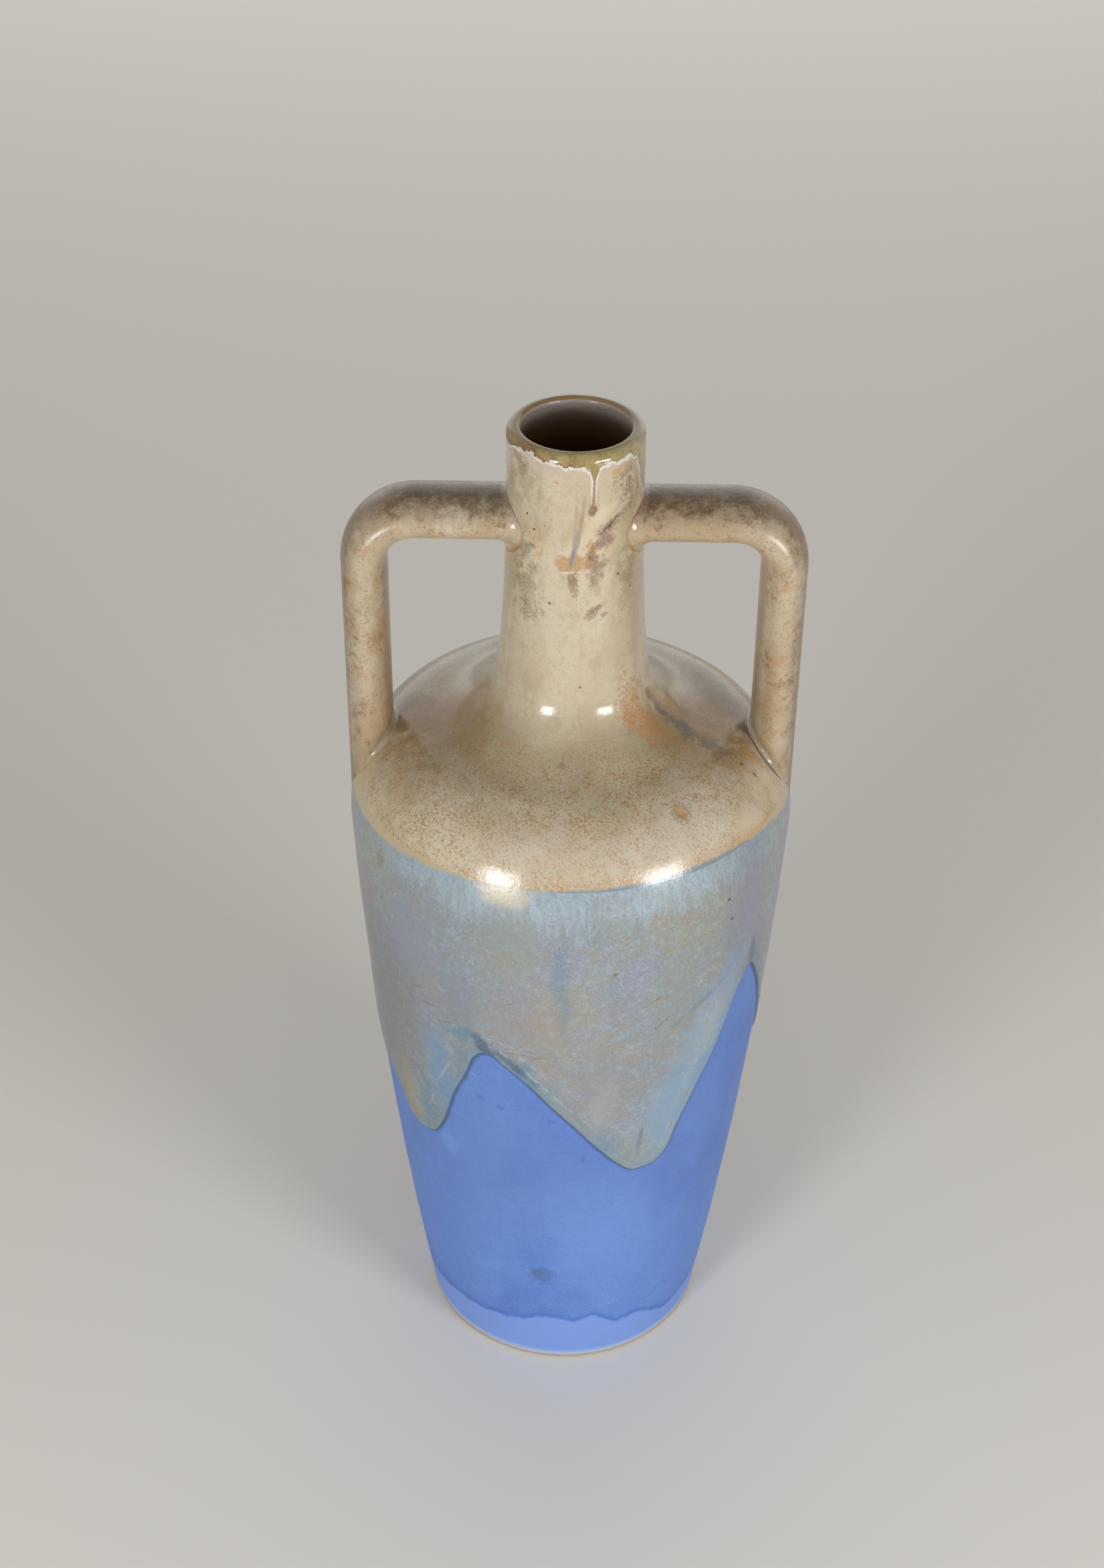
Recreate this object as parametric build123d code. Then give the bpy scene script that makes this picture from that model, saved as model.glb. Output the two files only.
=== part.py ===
from build123d import *

import math
import os

# Two-handled stoneware bottle, in millimetres. Z is up, X runs through both handles,
# -Y is the front, and the origin is the centre of the ring that the bottle stands on.

# Body of revolution: finished radii, and heights that stack up from the table
foot_radius = 42.0
belly_radius = 54.7
belly_height = 100.0
shoulder_radius = 60.8
wall_height = 184.7
dome_radius = 40.0
dome_rise = 27.8
dome_slope_deg = 6.3
neck_foot_radius = 20.3
neck_foot_rise = 16.5
neck_slope_deg = 7.4
neck_top_radius = 17.55
neck_height = 63.0
bore_radius = 13.9
lip_height = 8.0
lip_outer_round = 2.6
lip_inner_round = 0.45

# How far each curve runs straight on from its ends before it turns
shoulder_pull = 14.0
dome_outer_pull = 12.5
dome_inner_pull = 8.8
neck_foot_pull = 6.9
neck_lower_pull = 16.0
neck_upper_pull = 23.0

# Clay thicknesses and the turned foot
wall_thickness = 5.5
dome_thickness = 5.0
floor_thickness = 7.0
floor_round = 9.0
foot_ring_width = 8.6
foot_recess_depth = 2.5
foot_edge_round = 0.8
throat_rise = 9.5
throat_pull = 8.0

# Seams between the parts that the potter forms one by one
floor_seam_rise = 9.5
neck_seam_rise = 8.0

# Pulled strap handles: an arm out from the neck, a bend and a leg down to the shoulder
handle_inset = 0.3
handle_thickness = 12.2
handle_width = 20.8
handle_drop = 25.1
handle_bend_radius = 13.8
handle_seat_rise = 2.3
lute_width = 1.6
lute_rise = 1.6

# Glaze coats and the outline of the runs of the upper one
glaze_seam_rise = 12.3
bare_foot_height = 1.5
lower_coat = 0.4
upper_coat = 0.5
run_overlap = 1.0
run_tip_degs = (-50.0, 23.0, 97.0, 166.0, 238.0)
run_tip_height_shares = (0.462, 0.457, 0.49, 0.43, 0.475)
run_peak_degs = (-22.0, 58.0, 131.0, 205.0, 276.0)
run_peak_height_shares = (0.695, 0.77, 0.655, 0.72, 0.63)
run_tip_pull_share = 0.34
run_peak_pull_share = 0.26

# Places that follow from the sizes above
dome_height = wall_height + dome_rise
neck_foot_height = dome_height + neck_foot_rise
lip_seam_height = neck_foot_height + neck_height
overall_height = lip_seam_height + lip_height
throat_height = dome_height + throat_rise
floor_top_height = foot_recess_depth + floor_thickness
floor_seam_height = floor_top_height + floor_seam_rise
glaze_seam_height = wall_height + glaze_seam_rise
neck_seam_height = dome_height + neck_seam_rise
handle_arm_height = overall_height - handle_drop
handle_leg_x = shoulder_radius - handle_inset - handle_thickness / 2
handle_end_height = wall_height + handle_seat_rise
cut_margin = 0.1 * shoulder_radius
section_reach = shoulder_radius + cut_margin


def slope_point(radius, height, slope_deg, run):
    """A point that lies run away from (radius, height), along a line that leans by slope_deg."""
    angle = math.radians(slope_deg)
    return (radius + run * math.cos(angle), height + run * math.sin(angle))


def outer_face(outset=0.0):
    """Half section inside the outer surface from table to lip seam, grown by outset."""
    shoulder = (shoulder_radius + outset, wall_height)
    shoulder_out = (shoulder_radius + outset, wall_height + shoulder_pull)
    dome = (dome_radius, dome_height + outset)
    dome_out = slope_point(dome_radius, dome_height + outset, -dome_slope_deg, dome_outer_pull)
    dome_in = slope_point(dome_radius, dome_height + outset, -dome_slope_deg, -dome_inner_pull)
    neck_foot = (neck_foot_radius + outset, neck_foot_height)
    lean = 90 + neck_slope_deg
    neck_foot_low = slope_point(*neck_foot, lean, -neck_foot_pull)
    neck_foot_high = slope_point(*neck_foot, lean, neck_lower_pull)
    neck_top = (neck_top_radius + outset, lip_seam_height)
    neck_top_low = (neck_top_radius + outset, lip_seam_height - neck_upper_pull)
    foot = (foot_radius + outset, 0)
    outline = [
        ThreePointArc(foot, (belly_radius + outset, belly_height), shoulder),
        Bezier(shoulder, shoulder_out, dome_out, dome),
        Bezier(dome, dome_in, neck_foot_low, neck_foot),
        Bezier(neck_foot, neck_foot_high, neck_top_low, neck_top),
        Polyline(neck_top, (0, lip_seam_height), (0, 0), foot),
    ]
    return make_face(outline)


def inner_face():
    """Half section of the hollow: the belly, the space under the dome and the neck's bore."""
    floor = (foot_radius - wall_thickness, floor_top_height)
    belly = (belly_radius - wall_thickness, belly_height)
    shoulder = (shoulder_radius - wall_thickness, wall_height)
    shoulder_out = (shoulder_radius - wall_thickness, wall_height + shoulder_pull - dome_thickness)
    under_dome = dome_height - dome_thickness
    dome = (dome_radius, under_dome)
    dome_out = slope_point(*dome, -dome_slope_deg, dome_outer_pull - dome_thickness)
    dome_in = slope_point(*dome, -dome_slope_deg, -dome_inner_pull)
    throat = (bore_radius, throat_height)
    throat_low = (bore_radius, throat_height - throat_pull)
    above = overall_height + cut_margin
    outline = [
        ThreePointArc(floor, belly, shoulder),
        Bezier(shoulder, shoulder_out, dome_out, dome),
        Bezier(dome, dome_in, throat_low, throat),
        Polyline(throat, (bore_radius, above), (0, above), (0, floor_top_height), floor),
    ]
    hollow = make_face(outline)
    corner = hollow.vertices().sort_by_distance(floor)[0]
    return fillet(corner, floor_round)


def band(low, high):
    """The strip of the section plane between two heights."""
    return Pos(section_reach / 2, (low + high) / 2) * Rectangle(section_reach, high - low)


def turn(section):
    """Solid of revolution of a half section about the bottle's axis."""
    return revolve(Plane.XZ * section, Axis.Z)


def make_base():
    """Turned foot ring and floor, bare clay up to the edge of the glaze."""
    bare = outer_face(-upper_coat) & band(0, bare_foot_height)
    glazed = outer_face(-upper_coat - lower_coat) & band(bare_foot_height, floor_seam_height)
    recess_radius = foot_radius - foot_ring_width
    recess = Pos(recess_radius / 2, foot_recess_depth / 2) * Rectangle(recess_radius, foot_recess_depth)
    section = bare + glazed - recess - inner_face()
    corners = section.vertices().filter_by(lambda v: abs(v.Y) < foot_edge_round / 2)
    return turn(fillet(corners, foot_edge_round))


def make_wall():
    """Thrown wall from the floor's seam to the edge of the shoulder."""
    section = outer_face(-upper_coat - lower_coat) - inner_face()
    return turn(section & band(floor_seam_height, glaze_seam_height))


def make_shoulder():
    """Closed-in shoulder and dome, up to the neck's seam."""
    return turn((outer_face() - inner_face()) & band(glaze_seam_height, neck_seam_height))


def make_neck():
    """Tall neck, flared where it is joined to the dome."""
    return turn((outer_face() - inner_face()) & band(neck_seam_height, lip_seam_height))


def make_lip():
    """Thick rounded lip with the mouth of the bore."""
    width = neck_top_radius - bore_radius
    centre = Pos(bore_radius + width / 2, lip_seam_height + lip_height / 2)
    section = centre * Rectangle(width, lip_height)
    top = section.vertices().group_by(Axis.Y)[-1].sort_by(Axis.X)
    section = fillet(top[0], lip_inner_round)
    top = section.vertices().filter_by(lambda v: v.X > neck_top_radius - lip_inner_round)
    return turn(fillet(top.sort_by(Axis.Y)[-1], lip_outer_round))


def strap_section(plane, growth=0.0):
    """Oval section of the strap, its width along Y, grown by growth."""
    return plane * Ellipse(handle_width / 2 + growth, handle_thickness / 2 + growth)


def make_strap():
    """The left strap before its ends are cut to the neck and the shoulder."""
    route = FilletPolyline(
        (-bore_radius, 0, handle_arm_height),
        (-handle_leg_x, 0, handle_arm_height),
        (-handle_leg_x, 0, handle_end_height),
        radius=handle_bend_radius,
    )
    start = Plane(origin=route @ 0, x_dir=(0, 1, 0), z_dir=route % 0)
    return sweep(strap_section(start), route)


def make_neck_lute(strap):
    """Ridge of clay that joins the left strap's arm to the neck."""
    start = Plane(origin=(-bore_radius, 0, handle_arm_height), x_dir=(0, 1, 0), z_dir=(-1, 0, 0))
    sleeve = extrude(strap_section(start, lute_width), neck_foot_radius)
    skin = turn(outer_face(lute_rise)) - turn(outer_face())
    return (skin & sleeve) - strap


def make_shoulder_lute(strap):
    """Crescent of clay that joins the left strap's leg to the shoulder."""
    start = Plane(origin=(-handle_leg_x, 0, glaze_seam_height), x_dir=(0, 1, 0), z_dir=(0, 0, 1))
    sleeve = extrude(strap_section(start, lute_width), dome_height - glaze_seam_height)
    skin = turn(outer_face(lute_rise)) - turn(outer_face())
    return (skin & sleeve) - strap


def make_lower_coat():
    """Glaze of the whole wall, from the bare foot to under the shoulder's edge."""
    section = outer_face(-upper_coat) - outer_face(-upper_coat - lower_coat)
    return turn(section & band(bare_foot_height, glaze_seam_height))


def make_gap(tip_before, peak, tip_after):
    """Prism that parts two runs of glaze; each argument is an angle in degrees and a height."""
    before_x = shoulder_radius * math.sin(math.radians(tip_before[0] - peak[0]))
    after_x = shoulder_radius * math.sin(math.radians(tip_after[0] - peak[0]))
    before = (before_x, tip_before[1])
    after = (after_x, tip_after[1])
    top = (0, peak[1])
    rise = Bezier(
        before,
        (before_x * (1 - run_tip_pull_share), tip_before[1]),
        (before_x * run_peak_pull_share, peak[1]),
        top,
    )
    fall = Bezier(
        top,
        (after_x * run_peak_pull_share, peak[1]),
        (after_x * (1 - run_tip_pull_share), tip_after[1]),
        after,
    )
    rim = Polyline(
        after,
        (after_x + run_overlap, tip_after[1]),
        (after_x + run_overlap, 0),
        (before_x - run_overlap, 0),
        (before_x - run_overlap, tip_before[1]),
        before,
    )
    angle = math.radians(peak[0])
    outward = (math.sin(angle), -math.cos(angle), 0)
    along = (math.cos(angle), math.sin(angle), 0)
    return extrude(Plane((0, 0, 0), x_dir=along, z_dir=outward) * make_face([rise, fall, rim]), section_reach)


def make_upper_coat():
    """Second glaze over the upper wall, which ends below in long runs."""
    tips = [(deg, share * glaze_seam_height) for deg, share in zip(run_tip_degs, run_tip_height_shares)]
    peaks = [(deg, share * glaze_seam_height) for deg, share in zip(run_peak_degs, run_peak_height_shares)]
    lowest = min(height for _, height in tips)
    coat = turn((outer_face() - outer_face(-upper_coat)) & band(lowest, glaze_seam_height))
    first_again = (tips[0][0] + 360, tips[0][1])
    for before, peak, after in zip(tips, peaks, tips[1:] + [first_again]):
        coat = coat - make_gap(before, peak, after)
    return coat


def make_nodes():
    """Every part of the bottle by its name."""
    ware = turn(outer_face())
    strap = make_strap()
    left = {
        "handle": strap - ware,
        "neck_lute": make_neck_lute(strap),
        "shoulder_lute": make_shoulder_lute(strap),
    }
    nodes = {
        "foot_base": make_base(),
        "body_wall": make_wall(),
        "shoulder_dome": make_shoulder(),
        "neck_tube": make_neck(),
        "rounded_lip": make_lip(),
        "lower_blue_glaze": make_lower_coat(),
        "upper_drip_glaze": make_upper_coat(),
    }
    for name, shape in left.items():
        nodes[name + "_left"] = shape
        nodes[name + "_right"] = mirror(shape, about=Plane.YZ)
    return nodes


os.makedirs("parts", exist_ok=True)
for name, shape in make_nodes().items():
    solids = shape.solids()
    export_step(solids[0] if len(solids) == 1 else Compound(solids), "parts/" + name + ".step")
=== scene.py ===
import math
from bisect import bisect_left, bisect_right
from functools import lru_cache

import bmesh
import bpy
from mathutils import Matrix, Vector, noise
from mathutils.geometry import interpolate_bezier


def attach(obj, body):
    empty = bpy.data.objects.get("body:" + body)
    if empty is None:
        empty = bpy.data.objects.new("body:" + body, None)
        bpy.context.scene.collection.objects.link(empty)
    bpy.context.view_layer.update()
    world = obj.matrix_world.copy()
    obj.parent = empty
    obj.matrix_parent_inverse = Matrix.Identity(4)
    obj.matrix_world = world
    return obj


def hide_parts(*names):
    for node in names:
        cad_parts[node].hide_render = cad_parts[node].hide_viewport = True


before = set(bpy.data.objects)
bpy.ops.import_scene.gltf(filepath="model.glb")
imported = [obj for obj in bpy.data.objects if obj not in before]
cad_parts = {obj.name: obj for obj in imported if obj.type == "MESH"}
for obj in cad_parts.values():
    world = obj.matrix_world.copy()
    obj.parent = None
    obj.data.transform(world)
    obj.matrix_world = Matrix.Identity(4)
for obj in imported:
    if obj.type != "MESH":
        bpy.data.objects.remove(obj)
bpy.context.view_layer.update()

# Sizes are in millimetres, as (radius, height) in a half section; MM brings them to metres.
MM = 0.001

# Outline of the ware, and what its walls and coats measure
FOOT_RADIUS = 42.0
BELLY = (54.7, 100.0)
SHOULDER = (60.8, 184.7)
DOME = (40.0, 212.5)
DOME_SLOPE = math.radians(-6.3)
NECK_FOOT = (20.3, 229.0)
NECK_SLOPE = math.radians(97.4)
NECK_TOP = (17.55, 292.0)
BORE_RADIUS = 13.9
LIP_TOP = 300.0
LIP_OUTER_ROUND = 2.4
LIP_INNER_ROUND = 1.2
BARE_FOOT_TOP = 1.5
GLAZE_SEAM = 197.0
NECK_SEAM = 220.5
UPPER_COAT = 0.5
LOWER_COAT = 0.4
WALL = 5.5
DOME_WALL = 5.0
FLOOR_TOP = 9.5
THROAT = 222.0

# Distances from the axis between which the outline is eased, fading in and out, and how many times
EASING_START = (27.0, 34.0)
EASING_END = (46.0, 53.0)
EASING_ROUNDS = 40

# Handles
ARM_HEIGHT = 274.9
LEG_X = 54.4
BEND_RADIUS = 13.8
STRAP_HALF_WIDTH = 10.4
STRAP_HALF_THICKNESS = 6.1

# Lower edge of the drip glaze all round, as (degrees from the front, height)
RUN_EDGE = (
    (-122, 93.6), (-104, 106.5), (-92, 120.5), (-84, 124.5), (-79.5, 118),
    (-73.7, 106.5), (-61.8, 99.8), (-55.9, 93.4), (-49.8, 91.7), (-44.3, 93.2),
    (-38.7, 101.6), (-33.4, 116.4), (-28.7, 126.2), (-26.8, 132.3), (-23.8, 136.1),
    (-21.2, 136.6), (-16.2, 132.9), (-9.8, 126.8), (-4.6, 120.3), (2, 112.1),
    (8.3, 103.6), (15.8, 94.4), (21.4, 90.2), (26.9, 90.4), (31.8, 94.4),
    (34.8, 103.6), (40.7, 117.4), (47.1, 131), (53.2, 146.3), (57.9, 151.5),
    (64.2, 143.3), (74.3, 124.6), (84, 106), (91, 98.4), (98, 96.3),
    (106, 101), (116, 114.5), (124, 125.5), (131, 129), (138, 123),
    (150, 99), (159, 86.6), (166, 84.7), (173, 89), (184, 110),
    (195, 132), (205, 141.8), (213, 136), (224, 113), (232, 98),
)


def smoothstep(low, high, value):
    """0 below low, 1 above high, and a soft step between."""
    share = min(max((value - low) / (high - low), 0.0), 1.0)
    return share * share * (3 - 2 * share)


def leaning(point, angle, run):
    """The point that lies run away from a point, in the direction of an angle."""
    return (point[0] + run * math.cos(angle), point[1] + run * math.sin(angle))


def curve(start, pull_start, pull_end, end, count):
    """Points along a Bezier curve of the half section."""
    flat = [Vector((radius, height, 0)) for radius, height in (start, pull_start, pull_end, end)]
    return [(point.x, point.y) for point in interpolate_bezier(*flat, count)]


def arc(start, middle, end, count):
    """Points along the arc through three points of the half section."""
    (ax, ay), (bx, by), (cx, cy) = start, middle, end
    a, b, c = (x * x + y * y for x, y in (start, middle, end))
    double = 2 * (ax * (by - cy) + bx * (cy - ay) + cx * (ay - by))
    centre_x = (a * (by - cy) + b * (cy - ay) + c * (ay - by)) / double
    centre_y = (a * (cx - bx) + b * (ax - cx) + c * (bx - ax)) / double
    radius = math.hypot(ax - centre_x, ay - centre_y)
    first = math.atan2(ay - centre_y, ax - centre_x)
    last = math.atan2(cy - centre_y, cx - centre_x)
    angles = [first + (last - first) * step / (count - 1) for step in range(count)]
    return [(centre_x + radius * math.cos(angle), centre_y + radius * math.sin(angle)) for angle in angles]


def ware_outline():
    """Outer surface of the ware from the table to the lip's seam."""
    wall = arc((FOOT_RADIUS, 0.0), BELLY, SHOULDER, 160)
    edge = curve(
        SHOULDER, leaning(SHOULDER, math.pi / 2, 14.0), leaning(DOME, DOME_SLOPE, 12.5), DOME, 50
    )
    dome = curve(
        DOME, leaning(DOME, DOME_SLOPE, -8.8), leaning(NECK_FOOT, NECK_SLOPE, -6.9), NECK_FOOT, 50
    )
    neck = curve(
        NECK_FOOT, leaning(NECK_FOOT, NECK_SLOPE, 16.0), leaning(NECK_TOP, math.pi / 2, -23.0), NECK_TOP, 70
    )
    return eased(wall + edge[1:] + dome[1:] + neck[1:])


def eased(points):
    """The outline with the dome's hollow turning into its bulge over some millimetres."""
    for _ in range(EASING_ROUNDS):
        middle = []
        for before, point, after in zip(points, points[1:], points[2:]):
            share = smoothstep(*EASING_START, point[0]) * (1 - smoothstep(*EASING_END, point[0]))
            if point[1] < SHOULDER[1]:
                share = 0.0
            mean = [(a + 2 * b + c) / 4 for a, b, c in zip(before, point, after)]
            middle.append(tuple(b + share * (m - b) for b, m in zip(point, mean)))
        points = [points[0]] + middle + [points[-1]]
    return points


def hollow_outline():
    """Inner surface of the ware from the wall to the throat."""
    floor = (FOOT_RADIUS - WALL, FLOOR_TOP)
    belly = (BELLY[0] - WALL, BELLY[1])
    shoulder = (SHOULDER[0] - WALL, SHOULDER[1])
    dome = (DOME[0], DOME[1] - DOME_WALL)
    throat = (BORE_RADIUS, THROAT)
    wall = arc(floor, belly, shoulder, 40)
    edge = curve(
        shoulder, leaning(shoulder, math.pi / 2, 9.0), leaning(dome, DOME_SLOPE, 7.5), dome, 16
    )
    under = curve(
        dome, leaning(dome, DOME_SLOPE, -8.8), leaning(throat, math.pi / 2, -8.0), throat, 16
    )
    return wall + edge[1:] + under[1:] + [(BORE_RADIUS, LIP_TOP)]


WARE = ware_outline()
HOLLOW = hollow_outline()

# The ware's outline from the shoulder up
ABOVE = [point for point in WARE if point[1] >= SHOULDER[1]]


def radius_at(height, outline=WARE):
    """Radius of an outline at a height."""
    after = bisect_left(outline, height, key=lambda point: point[1])
    if after in (0, len(outline)):
        return outline[min(after, len(outline) - 1)][0]
    (r0, z0), (r1, z1) = outline[after - 1], outline[after]
    return r0 + (r1 - r0) * (height - z0) / max(z1 - z0, 1e-9)


def height_at(radius):
    """Height of the shoulder, dome or neck at a radius."""
    after = bisect_left(ABOVE, -radius, key=lambda point: -point[0])
    if after in (0, len(ABOVE)):
        return ABOVE[min(after, len(ABOVE) - 1)][1]
    (r0, z0), (r1, z1) = ABOVE[after - 1], ABOVE[after]
    return z0 + (z1 - z0) * (r0 - radius) / max(r0 - r1, 1e-9)


# Distance of a seam's nearest ring
NEAR_SEAM = 0.15


def between(low, high, outline, step):
    """The part of an outline between two heights, with a ring close to each end for smooth seams."""
    inner = [point for point in outline if low + 2 * NEAR_SEAM < point[1] < high - 2 * NEAR_SEAM]
    kept = []
    for point in inner:
        if not kept or math.dist(point, kept[-1]) >= step:
            kept.append(point)
    heights = (low, low + NEAR_SEAM, high - NEAR_SEAM, high)
    ends = [(radius_at(height, outline), height) for height in heights]
    return ends[:2] + kept + ends[2:]


def azimuth(place):
    """Degrees round the bottle from the front, growing towards the right handle."""
    return math.degrees(math.atan2(place.x, -place.y))


def around(degrees, radius, height):
    """A point at an azimuth, radius and height."""
    angle = math.radians(degrees)
    return Vector((radius * math.sin(angle), -radius * math.cos(angle), height))


def on_ware(degrees, height):
    """A point of the ware's outer surface."""
    return around(degrees, radius_at(height), height)


# The drip glaze's edge with its last point before it and its first two behind it, to close the turn
LOOPED_EDGE = (
    (RUN_EDGE[-1][0] - 360, RUN_EDGE[-1][1]),
    *RUN_EDGE,
    *((degrees + 360, height) for degrees, height in RUN_EDGE[:2]),
)


@lru_cache(maxsize=None)
def run_edge(degrees):
    """Height of the drip glaze's lower edge at an azimuth, on a smooth line through its points."""
    start = RUN_EDGE[0][0]
    turned = (degrees - start) % 360 + start
    after = min(bisect_right(LOOPED_EDGE, turned, key=lambda point: point[0]), len(LOOPED_EDGE) - 2)
    (x0, z0), (x1, z1), (x2, z2), (x3, z3) = LOOPED_EDGE[after - 2:after + 2]
    width = x2 - x1
    slope = (z2 - z1) / width
    slope_low = gentle(slope, (z1 - z0) / (x1 - x0))
    slope_high = gentle(slope, (z3 - z2) / (x3 - x2))
    share = (turned - x1) / width
    squared, cubed = share**2, share**3
    return (
        (2 * cubed - 3 * squared + 1) * z1
        + (cubed - 2 * squared + share) * width * slope_low
        + (3 * squared - 2 * cubed) * z2
        + (cubed - squared) * width * slope_high
    )


def gentle(slope, neighbour):
    """Slope at a knot of the drip's edge, flat where the edge turns round."""
    if slope * neighbour <= 0:
        return 0.0
    return 2 * slope * neighbour / (slope + neighbour)


# The edge laid flat at the wall's middle radius, and how far from it a distance is worked out
RUN_RADIUS = 57.0
RUN_SPAN = 220
RUN_STEP = 2
RUN_REACH = 24.0
RUN_LINE = [
    (RUN_RADIUS * math.radians(degrees), run_edge(degrees))
    for degrees in range(-RUN_SPAN, RUN_SPAN + 1, RUN_STEP)
]


def run_distance(degrees, height):
    """Distance from the drip glaze's edge over the surface, and below zero outside the glaze."""
    along = RUN_RADIUS * math.radians(degrees)
    middle = round((degrees + RUN_SPAN) / RUN_STEP)
    near = int(RUN_REACH / RUN_STEP)
    near_line = RUN_LINE[middle - near:middle + near + 1]
    nearest = RUN_REACH
    for (x0, z0), (x1, z1) in zip(near_line, near_line[1:]):
        if abs(height - z0) > RUN_REACH and abs(height - z1) > RUN_REACH:
            continue
        span_x, span_z = x1 - x0, z1 - z0
        share = ((along - x0) * span_x + (height - z0) * span_z) / (span_x * span_x + span_z * span_z)
        share = min(max(share, 0.0), 1.0)
        nearest = min(nearest, math.hypot(along - x0 - share * span_x, height - z0 - share * span_z))
    return math.copysign(nearest, height - run_edge(round(degrees, 2)))


def wobble(place, size, amount):
    """Soft unevenness: amount times a smooth noise whose features are about size across."""
    return amount * noise.noise(place / size)


class Channel:
    """A number, colour or direction that varies over a finish."""

    def __init__(self, finish, socket):
        self.finish = finish
        self.socket = socket

    def __add__(self, other):
        return self.finish.maths("ADD", self, other)

    __radd__ = __add__

    def __mul__(self, other):
        return self.finish.maths("MULTIPLY", self, other)

    __rmul__ = __mul__

    def __sub__(self, other):
        return self.finish.maths("SUBTRACT", self, other)

    def __rsub__(self, other):
        return self.finish.maths("SUBTRACT", other, self)

    def __truediv__(self, other):
        return self.finish.maths("DIVIDE", self, other)

    def __abs__(self):
        return self.finish.maths("ABSOLUTE", self)


def ink(code):
    """Colour of a six digit code, as Blender's linear values."""
    parts = [int(code[at:at + 2], 16) / 255 for at in (0, 2, 4)]
    linear = [part / 12.92 if part <= 0.04045 else ((part + 0.055) / 1.055) ** 2.4 for part in parts]
    return (*linear, 1.0)


def socket_of(sockets, name):
    """A socket by its place, identifier or name."""
    if isinstance(name, int):
        return sockets[name]
    for socket in sockets:
        if socket.identifier == name:
            return socket
    return sockets[name]


# A patch's mask is worked out as far as this many times its own size
SPOT_REACH = 3.0


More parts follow.
